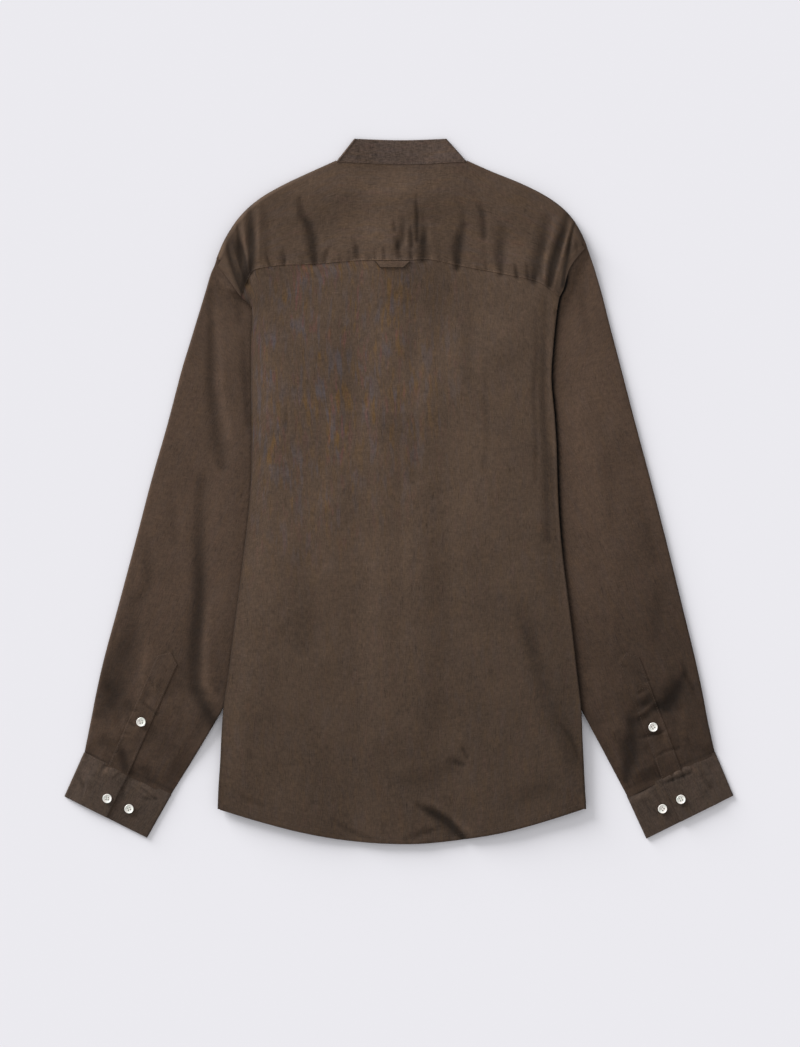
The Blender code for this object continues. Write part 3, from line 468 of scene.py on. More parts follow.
# Stitching
STITCH_LENGTH = 0.0023
STITCH_PITCH = 0.0031
STITCH_HALF = 0.00017
EDGE_STITCH = 0.0016
HEM_STITCH = 0.0062
ARMHOLE_STITCH = 0.0065
BAND_STITCH = 0.0035


# Curves


def smooth_step(t):
    t = np.clip(t, 0.0, 1.0)
    return t * t * (3.0 - 2.0 * t)


def fade(past, ramp=RAMP):
    """1 up to an edge and a little past it, then falling smoothly to 0 over the ramp."""
    return 1.0 - smooth_step((past - MARGIN) / ramp)


def unit(way):
    return way / np.linalg.norm(way)


def half_turn(steps):
    """Angles from straight up, round the outer side, to straight down."""
    return np.linspace(math.pi / 2, -math.pi / 2, steps + 1)


def at_height(line, y):
    """How far out a line of points lies at each height, carried on straight past its ends."""
    points = np.asarray(line, float)
    points = points[np.argsort(points[:, 1])]
    xs, ys = points[:, 0], points[:, 1]
    first = (xs[1] - xs[0]) / (ys[1] - ys[0])
    last = (xs[-1] - xs[-2]) / (ys[-1] - ys[-2])
    return np.interp(y, ys, xs) + np.minimum(y - ys[0], 0.0) * first + np.maximum(y - ys[-1], 0.0) * last


def at_x(line, x):
    """Height of a line of points at each x, level past its ends."""
    points = np.asarray(line, float)
    points = points[np.argsort(points[:, 0])]
    return np.interp(x, points[:, 0], points[:, 1])


def lengths(line):
    """How far along a line each of its points lies, as shares of the whole."""
    run = np.concatenate([[0.0], np.cumsum(np.linalg.norm(np.diff(line, axis=0), axis=1))])
    return run / run[-1]


def refine(line, cells):
    """The points of a smooth curve through the given ones, with that many cells between neighbours."""
    points = np.asarray(line, float)
    slopes = np.gradient(points, axis=0)
    t = (np.arange(cells) / cells)[None, :, None]
    start, end, leaving, arriving = points[:-1, None], points[1:, None], slopes[:-1, None], slopes[1:, None]
    curved = start * (1 + 2 * t) * (1 - t) ** 2 + leaving * t * (1 - t) ** 2
    curved = curved + end * t * t * (3 - 2 * t) - arriving * t * t * (1 - t)
    return np.vstack([curved.reshape(-1, points.shape[1]), points[-1]])


FINE_CELLS = 16


def spread(line, count):
    """That many points, evenly spaced along the smooth curve through the given ones."""
    fine = refine(line, FINE_CELLS) if len(line) > 2 else np.asarray(line, float)
    run = lengths(fine)
    shares = np.linspace(0.0, 1.0, count)
    return np.stack([np.interp(shares, run, fine[:, k]) for k in range(fine.shape[1])], axis=1)


def patch(top, bottom, left, right):
    """A grid of points between four edges: top and bottom give its columns, the sides its rows."""
    u = ((lengths(top) + lengths(bottom)) / 2)[None, :, None]
    v = ((lengths(left) + lengths(right)) / 2)[:, None, None]
    corners = (1 - v) * ((1 - u) * top[0] + u * top[-1]) + v * ((1 - u) * bottom[0] + u * bottom[-1])
    return (1 - u) * left[:, None] + u * right[:, None] + (1 - v) * top[None] + v * bottom[None] - corners


def on_side(side, points):
    """Points given by their distance from the middle, as x and y."""
    return np.asarray(points, float) * (side, 1)


def right_of(line):
    """Unit vectors to the right of a line as it runs, such as into the body from an outline drawn outward."""
    along = np.gradient(line, axis=0)
    along /= np.linalg.norm(along, axis=1)[:, None]
    return np.stack([along[:, 1], -along[:, 0]], axis=1)


# The random lattice, and the cosine and sine of its turn, so that its rows don't run with the threads
RIPPLE_LATTICE = 128
RIPPLE_COS, RIPPLE_SIN = 0.8, 0.6


def ripple(x, y, size, seed):
    """A smooth random rise from -1 to 1, in patches of about that size."""
    lattice = np.random.default_rng(seed).uniform(-1.0, 1.0, (RIPPLE_LATTICE, RIPPLE_LATTICE))
    column_at = (x * RIPPLE_COS + y * RIPPLE_SIN) / size + RIPPLE_LATTICE / 2
    row_at = (y * RIPPLE_COS - x * RIPPLE_SIN) / size + RIPPLE_LATTICE / 2
    column, row = np.floor(column_at).astype(int), np.floor(row_at).astype(int)
    across, up = smooth_step(column_at - column), smooth_step(row_at - row)

    def level(j):
        first, second = (lattice[(row + j) % RIPPLE_LATTICE, (column + i) % RIPPLE_LATTICE] for i in (0, 1))
        return first * (1 - across) + second * across

    return level(0) * (1 - up) + level(1) * up


def ripples(table, x, y):
    return sum(rise * ripple(x, y, size, seed) for rise, size, seed in table)


# Lines of the cut


def fold_edge(side):
    column = 1 if side == LEFT else 2
    return [(row[column], row[0]) for row in FOLD_EDGE]


def armhole_top(side):
    """The part of an armhole that the yoke is sewn to."""
    return ARMHOLE[side][: YOKE_CORNER[side] + 1]


FOLD_TOP = FOLD_EDGE[0][0]
EDGE_CELLS = 6
BODY_EDGE = {side: refine(list(armhole_top(side)) + fold_edge(side), EDGE_CELLS) for side in SIDES}
TUCK_EDGE = {side: list(ARMHOLE[side]) + list(SIDE_SEAM) for side in SIDES}
SLEEVE_OUTER = {side: [row[:2] for row in SLEEVE[side]] for side in SIDES}
SLEEVE_INNER = {side: [row[2:] for row in SLEEVE[side]] for side in SIDES}
HEM_LINE = spread(HEM, 200)
NECK_BACK = ((-NECK_HALF, NECK_TOP), (0.0, NECK_TOP - NECK_SAG_BACK), (NECK_HALF, NECK_TOP))


def neck_front(angle, out=0.0):
    """A point of the front neckline, from the middle at 0 to the shoulder at a right angle."""
    across, drop = NECK_HALF + out, NECK_DROP_FRONT + out
    return np.array([across * math.sin(angle), NECK_TOP - drop * math.cos(angle)])


def front_yoke_edge(outline):
    """The yoke's seam on the front, parallel to the shoulder outline, starting on the neckline."""
    edge = outline + right_of(outline) * FRONT_YOKE
    edge[0] = neck_front(NECK_YOKE_ANGLE)
    return edge


FRONT_YOKE_EDGE = {side: front_yoke_edge(np.asarray(SHOULDER[side], float)) for side in SIDES}


# Layers


def by_side(x, left, right):
    return np.where(x < 0, left, right)


def edge_at(lines, x, y):
    """How far from the middle the line on each place's side lies, at its height."""
    return by_side(x, *[at_height(lines[side], y) for side in SIDES])


def present(layer, x, y, ramp):
    """How much of a layer's height lies under what is on it at each place, from 0 to 1."""
    reach = np.abs(x)
    collar_top = NECK_TOP - NECK_DROP_FRONT + COLLAR_HEIGHT
    if layer == "button":
        lowest = FIRST_BUTTON - BUTTON_PITCH * (FRONT_BUTTONS - 1)
        return fade(reach - BUTTON_RADIUS) * fade(y - collar_top) * fade(lowest - 2 * BUTTON_RADIUS - y)
    if layer == "front_band":
        return fade(reach - FRONT_BAND_HALF) * fade(y - collar_top)
    if layer == "front_yoke":
        edges = [FRONT_YOKE_EDGE[side] for side in SIDES]
        return by_side(x, *[fade(at_x(edge, reach) - y) * fade(edge[0][0] - reach) for edge in edges])
    if layer == "front":
        return fade(reach - edge_at(BODY_EDGE, x, y)) * fade(y - NECK_TOP)
    if layer in ("front_tuck", "back_tuck"):
        folded = fade(edge_at(TUCK_EDGE, x, y) - reach, ramp) * fade(y - FOLD_TOP, ramp)
        return folded * fade(reach - edge_at(BODY_EDGE, x, y))
    if layer in ("sleeve_under", "sleeve_over"):
        return fade(edge_at(SLEEVE_INNER, x, y) - reach, ramp)
    if layer == "back":
        return fade(y - at_x(YOKE_SEAM, x) - LAP)
    return np.ones_like(x)


def folds(table, x, y):
    """Rise of a table's folds, each a soft ridge or trough that deepens from its spine's start."""
    rise = np.zeros_like(x)
    for height, *spine in table:
        off, share = np.full_like(x, np.inf), np.zeros_like(x)
        for k, (start, end) in enumerate(zip(spine, spine[1:])):
            (x0, y0, w0), (x1, y1, w1) = np.array(start) / 1000, np.array(end) / 1000
            dx, dy = x1 - x0, y1 - y0
            t = np.clip(((x - x0) * dx + (y - y0) * dy) / (dx * dx + dy * dy), 0.0, 1.0)
            here = np.hypot(x - x0 - t * dx, y - y0 - t * dy) / (w0 + (w1 - w0) * t)
            share = np.where(here < off, (k + t) / (len(spine) - 1), share)
            off = np.where(here < off, here, off)
        deeper = FOLD_START + (1 - FOLD_START) * smooth_step(share / FOLD_RUN_IN)
        rise += height / 1000 * deeper * np.exp(-(off**FOLD_FLATNESS))
    return rise


def pucker(x, y):
    """The small uneven gathers that the yoke seam draws up on either side of it."""
    above = y - at_x(YOKE_SEAM, x)
    off = above / np.where(above > 0, PUCKER_ABOVE, PUCKER_BELOW)
    return ripples(PUCKERS, x, 0 * y) * np.exp(-off * off)


def crumple_at_wrist(x, y):
    """Small creases that the stiff placket and cuff press into the sleeve's end."""
    return smooth_step((WRIST_CRUMPLE_TOP - y) / WRIST_CRUMPLE_RUN_IN) * ripples(WRIST_CRUMPLE, x, y)


def relief(layer, x, y):
    """Rise of the upper cloth, which is level with its layer at the edges."""
    reach = np.abs(x)
    if layer in ("back", "yoke"):
        top = by_side(x, *[ARMHOLE[side][0][1] for side in SIDES])
        inside = smooth_step((edge_at(BODY_EDGE, x, y) - reach) / BACK_SLOPE)
        inside = inside + (1 - inside) * smooth_step((y - top + RAMP / 2) / RAMP)
        inside = inside * smooth_step((NECK_TOP - y) / RAMP)
        shaped = folds(YOKE_FOLDS, x, y) + folds(BACK_FOLDS, x, y) + pucker(x, y)
        return np.maximum(BACK_LOFT + shaped + ripples(CRUMPLE, x, y), 0.0) * inside
    if layer == "sleeve_over":
        clear = smooth_step((edge_at(SLEEVE_OUTER, x, y) - reach) / SLEEVE_SLOPE)
        clear = SLEEVE_EDGE_LOFT + (1 - SLEEVE_EDGE_LOFT) * clear
        clear = clear * smooth_step((reach - edge_at(BODY_EDGE, x, y)) / RAMP)
        clear = clear * smooth_step((reach - edge_at(SLEEVE_INNER, x, y)) / SLEEVE_SLOPE)
        shaped = folds(SLEEVE_FOLDS, x, y) + ripples(CRUMPLE, x, y) + crumple_at_wrist(x, y)
        return np.maximum(SLEEVE_LOFT + shaped, 0.0) * clear
    return np.zeros_like(x)


def laid(layer, places, extra=0.0):
    """Points of a piece's middle surface, at these places in plan and in this layer."""
    places = np.asarray(places, float)
    x, y = places[..., 0], places[..., 1]
    below = list(LAYERS)[: list(LAYERS).index(layer)]
    # The stiff top layers bridge the hollows between what they lie on.
    ramp = TOP_RAMP if layer in ("back", "yoke", "collar") else RAMP
    z = OFF_FLOOR + extra + relief(layer, x, y)
    z = z + sum(LAYERS[name] * present(name, x, y, ramp) for name in below)
    if layer == "back":
        z = z + SEAM_LIFT * (1 - smooth_step((at_x(YOKE_SEAM, x) - y) / SEAM_LIFT_REACH))
    return np.stack([x, y, z], axis=-1)


def roll(edge, inward, under, over, share=1.0):
    """Points round a fold, for each point of a panel's edge, from the upper layer to the lower one."""
    edge = np.asarray(edge, float)
    inward = np.broadcast_to(np.asarray(inward, float), edge.shape)
    inset = edge + inward * ROLL_INSET
    high, low = laid(over, inset)[..., 2], laid(under, inset)[..., 2]
    radius = np.maximum((high - low) / 2, CLOTH) * share
    found = []
    for angle in half_turn(ROLL_STEPS):
        place = edge + inward * (radius * (1 - math.cos(angle)))[:, None]
        found.append(np.column_stack([place, (high + low) / 2 + radius * math.sin(angle)]))
    return np.stack(found, axis=1)


# Finishes


def srgb(red, green, blue):
    """A colour from its values out of 255, as the linear ones that shaders take."""
    linear = [((c / 255 + 0.055) / 1.055) ** 2.4 if c > 10 else c / 255 / 12.92 for c in (red, green, blue)]
    return (*linear, 1.0)


YARN_PITCH = 0.00048
WARM_YARN = srgb(104, 76, 38)
COOL_YARN = srgb(80, 76, 82)
ROSE_YARN = srgb(100, 66, 62)
SLUB = 0.20
WEAVE_DEPTH, WEAVE_STRENGTH = 0.00009, 0.8
CRUSH_DEPTH, CRUSH_STRENGTH = 0.00045, 0.6

# How much each unevenness of the cloth lightens or darkens it, and how high the yarns and slubs stand
WARP_SHADE, WEFT_SHADE = 0.55, 0.35
BLOTCH_SHADE, BROAD_SHADE = 0.30, 0.28
PILLOW_SHADE, PILLOW_LOW = 0.20, 0.86
KNOT_SHADE = 0.30
# Painted shade in creases: how much it darkens the colour, and the least of the colour that it leaves
CREASE_PAINTED_SHADE, DEEPEST_PAINTED_SHADE = 0.52, 0.03
YARN_HEIGHT, SLUB_HEIGHT = 0.7, 3.0

# Short streaks of other yarns: threads' stretch, shift of the noise, and where each begins and is full
HEATHER = {
    "Warm": ((190.0, 34.0, 1.0), 31.0, 0.50, 0.64),
    "Cool": ((160.0, 30.0, 1.0), 47.0, 0.49, 0.63),
    "Rose": ((230.0, 44.0, 1.0), 59.0, 0.53, 0.67),
}

# Upper left of the shirt, where the back's heather is strongest: middle, half sizes and what is added there
HEATHER_MIDDLE = (-0.150, 0.170, 0.0)
HEATHER_REACH = (0.26, 0.30, 1.0)
HEATHER_MORE = 0.55

# Painted shade falloff: the cloth darkens down the shirt, between two heights that lean to the right, and
# towards its right side
PAINTED_FALLOFF_LEAN = -0.25
PAINTED_FALLOFF_HEIGHTS = (-0.40, 0.05)
PAINTED_FALLOFF_RIGHT = (0.0, 0.16)


def feed(tree, inputs, values):
    """Links or sets a node's inputs, by their names or their places."""
    for name, value in values.items():
        if isinstance(value, bpy.types.NodeSocket):
            tree.links.new(value, inputs[name])
        else:
            inputs[name].default_value = value


def maths(tree, operation, *values):
    node = tree.nodes.new("ShaderNodeMath")
    node.operation = operation
    feed(tree, node.inputs, dict(enumerate(values)))
    return node.outputs[0]


def times(tree, first, second):
    return maths(tree, "MULTIPLY", first, second)


def plus(tree, first, second):
    return maths(tree, "ADD", first, second)


def mix(tree, share, first, second, how="MIX"):
    node = tree.nodes.new("ShaderNodeMix")
    node.data_type = "RGBA"
    node.blend_type = how
    feed(tree, node.inputs, {"Factor": share, "A": first, "B": second})
    return node.outputs["Result"]


def shaded(tree, colour, value):
    """A colour made lighter or darker by a value."""
    grey = tree.nodes.new("ShaderNodeCombineXYZ")
    feed(tree, grey.inputs, {"X": value, "Y": value, "Z": value})
    return mix(tree, 1.0, colour, grey.outputs[0], "MULTIPLY")


def ramped(tree, value, low, high, first=0.0, second=1.0):
    """Maps a value from low..high to first..second, smoothly and no further."""
    node = tree.nodes.new("ShaderNodeMapRange")
    node.interpolation_type = "SMOOTHSTEP"
    limits = {"From Min": low, "From Max": high, "To Min": first, "To Max": second}
    feed(tree, node.inputs, {"Value": value, **limits})
    return node.outputs["Result"]


def mapped(tree, vector, kind="POINT", **values):
    """A vector moved, turned or stretched."""
    node = tree.nodes.new("ShaderNodeMapping")
    node.vector_type = kind
    feed(tree, node.inputs, {"Vector": vector, **values})
    return node.outputs["Vector"]


def noise(tree, vector, stretch, detail=2.0, shift=0.0):
    """Noise of about that many patches a metre, along each axis of the vector."""
    moved = mapped(tree, vector, Scale=stretch, Location=(shift, shift * 0.7, shift * 0.3))
    node = tree.nodes.new("ShaderNodeTexNoise")
    feed(tree, node.inputs, {"Vector": moved, "Scale": 1.0, "Detail": detail})
    return node.outputs["Fac"]


def parted(tree, vector):
    node = tree.nodes.new("ShaderNodeSeparateXYZ")
    feed(tree, node.inputs, {0: vector})
    return node.outputs


def bump(tree, height, distance, strength, **normal):
    node = tree.nodes.new("ShaderNodeBump")
    feed(tree, node.inputs, {"Height": height, "Distance": distance, "Strength": strength, **normal})
    return node.outputs[0]


def group(name, inputs, outputs):
    """An empty shader node group with its named sockets: its tree, what it is given and what it puts out."""
    tree = bpy.data.node_groups.new(name, "ShaderNodeTree")
    for way, sockets in (("INPUT", inputs), ("OUTPUT", outputs)):
        for title, kind in sockets.items():
            tree.interface.new_socket(name=title, in_out=way, socket_type="NodeSocket" + kind)
    return tree, tree.nodes.new("NodeGroupInput").outputs, tree.nodes.new("NodeGroupOutput").inputs


def placed(tree, effect, values):
    """A node group placed in a finish: what it puts out."""
    node = tree.nodes.new("ShaderNodeGroup")
    node.node_tree = effect
    feed(tree, node.inputs, values)
    return node.outputs


def new_finish(name):
    """A new material, its tree and its shader's inputs."""
    finish = bpy.data.materials.new(name)
    finish.use_nodes = True
    return finish, finish.node_tree, finish.node_tree.nodes["Principled BSDF"].inputs


def place_in(tree):
    return tree.nodes.new("ShaderNodeTexCoord").outputs["Object"]


def linen_weave():
    """Plain weave with uneven yarns, from the flat cut's coordinates, with painted shade in its creases and a
    painted shade falloff by its place on the shirt.
    """
    tree, given, found = group(
        "linen_weave",
        {"Threads": "Vector", "Place": "Vector", "Yarn": "Color", "Warm": "Color", "Cool": "Color",
         "Rose": "Color", "Heather": "Float", "Slub": "Float", "Mottle": "Float", "PaintedCreaseShade": "Float",
         "Pitch": "Float", "Low": "Float", "Right": "Float"},
        {"Color": "Color", "Roughness": "Float", "Height": "Float", "Crush": "Float"},
    )
    threads = given["Threads"]

    def uneven(stretch, low, high, detail=2.0, shift=0.0, first=0.0, second=1.0):
        return ramped(tree, noise(tree, threads, (*stretch, 1.0), detail, shift), low, high, first, second)

    along = parted(tree, threads)
    turns = [maths(tree, "DIVIDE", times(tree, along[axis], math.pi), given["Pitch"]) for axis in ("X", "Y")]
    cell = times(tree, *[maths(tree, "SINE", turn) for turn in turns])
    pillow = maths(tree, "POWER", maths(tree, "ABSOLUTE", cell), 0.5)
    # Yarns of uneven thickness: long ones down the warp, shorter ones across
    warp = uneven((760.0, 190.0), 0.25, 0.75, first=-1.0)
    weft = uneven((210.0, 820.0), 0.25, 0.75, shift=5.0, first=-1.0)
    slub_warp = uneven((560.0, 60.0), 0.64, 0.76, detail=1.0, shift=9.0)
    slub_weft = uneven((75.0, 640.0), 0.66, 0.78, detail=1.0, shift=13.0)
    blotch = uneven((190.0, 130.0), 0.3, 0.7, detail=4.0, shift=21.0, first=-1.0)
    broad = uneven((17.0, 11.0), 0.3, 0.7, detail=3.0, shift=27.0, first=-1.0)
    yarns = plus(tree, times(tree, warp, WARP_SHADE), times(tree, weft, WEFT_SHADE))
    patchy = plus(tree, times(tree, blotch, BLOTCH_SHADE), times(tree, broad, BROAD_SHADE))
    slubs = times(tree, maths(tree, "SUBTRACT", slub_weft, slub_warp), given["Slub"])
    shade = maths(tree, "MULTIPLY_ADD", plus(tree, yarns, patchy), given["Mottle"], 1.0)
    shade = plus(tree, shade, slubs)
    shade = times(tree, shade, maths(tree, "MULTIPLY_ADD", pillow, PILLOW_SHADE, PILLOW_LOW))
    # Knots in the yarn catch the light.
    shade = plus(tree, shade, uneven((430.0, 520.0), 0.70, 0.78, detail=1.0, shift=17.0, second=KNOT_SHADE))
    # Painted shade: the colour is darkened in the creases and lightened on their ridges.
    painted_crease_darkening = maths(tree, "MULTIPLY_ADD", given["PaintedCreaseShade"], -CREASE_PAINTED_SHADE, 1.0)
    shade = times(tree, shade, maths(tree, "MAXIMUM", painted_crease_darkening, DEEPEST_PAINTED_SHADE))
    # Painted shade falloff: the cloth is a little darker towards its hem and wrists, and towards its right
    # side.
    at = parted(tree, given["Place"])
    down = maths(tree, "MULTIPLY_ADD", at["X"], PAINTED_FALLOFF_LEAN, at["Y"])
    painted_falloff = ramped(tree, down, *PAINTED_FALLOFF_HEIGHTS, given["Low"], 1.0)
    painted_falloff = times(tree, painted_falloff, ramped(tree, at["X"], *PAINTED_FALLOFF_RIGHT, 1.0, given["Right"]))
    colour = shaded(tree, shaded(tree, given["Yarn"], painted_falloff), shade)
    for tint, (stretch, shift, low, high) in HEATHER.items():
        streak = ramped(tree, noise(tree, threads, stretch, 3.0, shift), low, high)
        cloud = uneven((38.0, 26.0), 0.36, 0.60, detail=1.0, shift=shift, first=0.35)
        there = times(tree, times(tree, streak, cloud), given["Heather"])
        colour = mix(tree, there, colour, shaded(tree, given[tint], shade))
    raised = plus(tree, times(tree, yarns, YARN_HEIGHT), times(tree, slubs, SLUB_HEIGHT))
    feed(tree, found, {
        "Color": colour,
        "Roughness": ramped(tree, blotch, -1.0, 1.0, 0.68, 0.86),
        "Height": plus(tree, pillow, raised),
        "Crush": noise(tree, given["Place"], (55.0, 38.0, 55.0), 3.0),
    })
    return tree


def twisted_thread():
    """The fine unevenness of sewing thread, in its colour and roughness."""
    tree, given, found = group(
        "twisted_thread",
        {"Place": "Vector", "Thread": "Color", "Roughness": "Float"},
        {"Color": "Color", "Roughness": "Float"},
    )
    uneven = noise(tree, given["Place"], (900.0, 900.0, 900.0))
    dark = shaded(tree, given["Thread"], 0.8)
    smooth, rough = (maths(tree, "ADD", given["Roughness"], off) for off in (-0.08, 0.08))
    feed(tree, found, {
        "Color": mix(tree, ramped(tree, uneven, 0.3, 0.7), dark, given["Thread"]),
        "Roughness": ramped(tree, uneven, 0.2, 0.8, smooth, rough),
    })
    return tree


WEAVE = linen_weave()
TWIST = twisted_thread()


def streaked(tree, place, heather):
    """Heather that is stronger in a soft round patch, unevenly."""
    soft = tree.nodes.new("ShaderNodeTexGradient")
    soft.gradient_type = "SPHERICAL"
    centred = mapped(tree, place, "TEXTURE", Location=HEATHER_MIDDLE, Scale=HEATHER_REACH)
    feed(tree, soft.inputs, {0: centred})
    patchy = ramped(tree, noise(tree, place, (40.0, 16.0, 34.0), shift=3.0), 0.35, 0.65, 0.30, 1.0)
    stronger = times(tree, ramped(tree, soft.outputs["Fac"], 0.0, 0.6), patchy)
    return maths(tree, "MULTIPLY_ADD", stronger, HEATHER_MORE, heather)


def linen(name, yarn, heather, mottle, low=0.70, right=0.88, across=False, patchy=False):
    """Cloth woven of uneven yarns, matt with a faint sheen.

    low is how bright its painted shade falloff leaves it at the hem and wrists, right at the shirt's right
    side.
    across turns its grain, and patchy makes its heather stronger at the shirt's upper left.
    """
    finish, tree, shader = new_finish(name)
    place = place_in(tree)
    threads = tree.nodes.new("ShaderNodeUVMap")
    threads.uv_map = "threads"
    # The painted shade of the creases, which each cloth carries as an attribute of its points
    painted_crease_shade = tree.nodes.new("ShaderNodeAttribute")
    painted_crease_shade.attribute_name = "painted_crease_shade"
    weave = placed(tree, WEAVE, {
        "Threads": mapped(tree, threads.outputs[0], Rotation=(0.0, 0.0, math.pi / 2 if across else 0.0)),
        "Place": place,
        "Yarn": yarn,
        "Warm": WARM_YARN,
        "Cool": COOL_YARN,
        "Rose": ROSE_YARN,
        "Heather": streaked(tree, place, heather) if patchy else heather,
        "Slub": SLUB,
        "Mottle": mottle,
        "PaintedCreaseShade": painted_crease_shade.outputs["Fac"],
        "Pitch": YARN_PITCH,
        "Low": low,
        "Right": right,
    })
    crushed = bump(tree, weave["Crush"], CRUSH_DEPTH, CRUSH_STRENGTH)
    feed(tree, shader, {
        "Base Color": weave["Color"],
        "Roughness": weave["Roughness"],
        "Normal": bump(tree, weave["Height"], WEAVE_DEPTH, WEAVE_STRENGTH, Normal=crushed),
        "Specular IOR Level": 0.12,
        "Sheen Weight": 0.06,
        "Sheen Roughness": 0.45,
        "Sheen Tint": srgb(190, 172, 155),
    })
    return finish


def thread(name, colour):
    """Sewing thread, matt."""
    finish, tree, shader = new_finish(name)
    twist = placed(tree, TWIST, {"Place": place_in(tree), "Thread": colour, "Roughness": 0.6})
    feed(tree, shader, {
        "Base Color": twist["Color"],
        "Roughness": twist["Roughness"],
        "Specular IOR Level": 0.3,
    })
    return finish


def pearl():
    """Polished shell: pale, with soft clouds of pink and green, under a clear gloss."""
    finish, tree, shader = new_finish("pearl")
    place = place_in(tree)
    clouds = noise(tree, place, (260.0, 180.0, 260.0), 3.0)
    bands = noise(tree, place, (420.0, 90.0, 300.0), 2.0, 7.0)
    colour = mix(tree, ramped(tree, clouds, 0.35, 0.65), srgb(228, 220, 214), srgb(222, 226, 218))
    feed(tree, shader, {
        "Base Color": mix(tree, ramped(tree, bands, 0.45, 0.62, 0.0, 0.5), colour, srgb(240, 238, 234)),
        "Roughness": ramped(tree, bands, 0.3, 0.7, 0.18, 0.30),
        "Coat Weight": 0.4,
        "Coat Roughness": 0.12,
    })
    return finish


# low and right set how far each cloth's painted shade falloff darkens it at the hem and wrists and at its
# right side
BACK_LINEN = linen("brown_linen_back", srgb(83, 67, 55), 0.06, 0.28, patchy=True)
YOKE_LINEN = linen("brown_linen_yoke", srgb(81, 65, 53), 0.08, 0.28, across=True)
COLLAR_LINEN = linen("brown_linen_collar", srgb(81, 67, 59), 0.10, 0.46, across=True)
SLEEVE_LINEN = linen("brown_linen_sleeve", srgb(77, 61, 50), 0.04, 0.26, low=0.56, right=0.95)
CUFF_LINEN = linen("brown_linen_cuff", srgb(78, 65, 56), 0.05, 0.36, right=1.0)
BROWN_THREAD = thread("brown_thread", srgb(76, 62, 53))
PALE_THREAD = thread("pale_thread", srgb(205, 200, 190))
PEARL = pearl()


# Pieces


def flat_of(points):
    """The flat cut's coordinates of a grid: along its rows from their middle, and down its columns."""
    across = np.nan_to_num(np.linalg.norm(np.diff(points, axis=1), axis=2))
    u = np.concatenate([np.zeros((len(points), 1)), np.cumsum(across, axis=1)], axis=1)
    u -= u[:, [u.shape[1] // 2]]
    with np.errstate(all="ignore"):
        down = np.nanmean(np.linalg.norm(np.diff(points, axis=0), axis=2), axis=1)
    v = -np.concatenate([[0.0], np.cumsum(down)])
    return np.stack([u, np.broadcast_to(v[:, None], u.shape)], axis=-1)


def object_of(name, mesh, finishes):
    """A new object of this mesh, which is used up."""
    data = bpy.data.meshes.new(name)
    mesh.to_mesh(data)
    mesh.free()
    for finish in finishes:
        data.materials.append(finish)
    thing = bpy.data.objects.new(name, data)
    bpy.context.scene.collection.objects.link(thing)
    return thing


def finished(thing, sharp=math.radians(50)):
    """The object with its modifiers made part of its mesh, and smooth but for its corners."""
    seen = thing.evaluated_get(bpy.context.evaluated_depsgraph_get())
    data = bpy.data.meshes.new_from_object(seen)
    thing.modifiers.clear()
    thing.data = data
    data.shade_smooth()
    data.set_sharp_from_angle(angle=sharp)
    return thing


def belongs(thing, slot, *nodes):
    """Fixes a piece to the shirt and hides the solids it stands for. The finish's slot is not used."""
    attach(thing, "root")
    if nodes:
        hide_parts(*nodes)
    return thing


def cloth_grid(points, flat, deep, cut):
    """A grid moved to these points, with its flat cut as its UV map, and the painted shade of its creases.

    A missing point is not a number. cut names faces left out: their column, and the row that they start in.
    """
    rows, columns = points.shape[:2]
    mesh = bmesh.new()
    bmesh.ops.create_grid(mesh, x_segments=columns - 1, y_segments=rows - 1, size=0.5)
    mesh.verts.ensure_lookup_table()
    threads = mesh.loops.layers.uv.new("threads")
    depth = mesh.verts.layers.float.new("painted_crease_shade")
    uv = flat.reshape(-1, 2)
    for face in mesh.faces:
        for loop in face.loops:
            loop[threads].uv = uv[loop.vert.index]
    missing = []
    for vertex, point, painted_shade_there in zip(mesh.verts, points.reshape(-1, 3), deep.reshape(-1)):
        if np.isnan(point[0]):
            missing.append(vertex)
        else:
            vertex.co = point
            vertex[depth] = painted_shade_there
    if cut is not None:
        mesh.faces.ensure_lookup_table()
        column, first = cut
        gone = [mesh.faces[j * (columns - 1) + column] for j in range(first, rows - 1)]
        bmesh.ops.delete(mesh, geom=gone, context="FACES")
    bmesh.ops.delete(mesh, geom=missing, context="VERTS")
    bmesh.ops.remove_doubles(mesh, verts=mesh.verts, dist=WELD)
    # Painted shade: cloth is darker where it turns over an edge.
    mesh.normal_update()
    level = np.array([abs(vertex.normal.z) for vertex in mesh.verts])
    for vertex, shade in zip(mesh.verts, EDGE_PAINTED_SHADE * smooth_step((EDGE_STEEP - level) / EDGE_STEEP)):
        vertex[depth] += shade
    return mesh


def cloth(name, points, finish, wall=CLOTH, rim=0.0, deep=None, cut=None):
    """A piece of cloth from a grid of middle points, with its wall and, where it has a rim, soft corners."""
    flat = flat_of(points)
    # deep is the painted shade of each point, which darkens its colour.
    deep = np.zeros(points.shape[:2]) if deep is None else deep
    thing = object_of(name, cloth_grid(points, flat, deep, cut), [finish])
    thick = thing.modifiers.new("Wall", "SOLIDIFY")
    thick.thickness = wall
    thick.offset = 0.0
    if rim:
        soft = thing.modifiers.new("Rim", "BEVEL")
        soft.width = rim
        soft.segments = 3
        soft.limit_method = "ANGLE"
        soft.angle_limit = math.radians(60)
    finished(thing)
    sides = np.linalg.norm(np.diff(points, axis=1), axis=2)[:-1]
    ends = np.linalg.norm(np.diff(points, axis=0), axis=2)[:, :-1]
    thing["flat"] = [float(np.ptp(flat[..., 0])), float(np.ptp(flat[..., 1]))]
    thing["area"] = float(np.nansum(sides * ends))
    return thing


def laid_sheet(thing):
    """Works out the lesser of a piece of cloth's area and the size of its flat cut, and keeps neither."""
    width, length = thing["flat"]
    min(thing["area"], width * length)


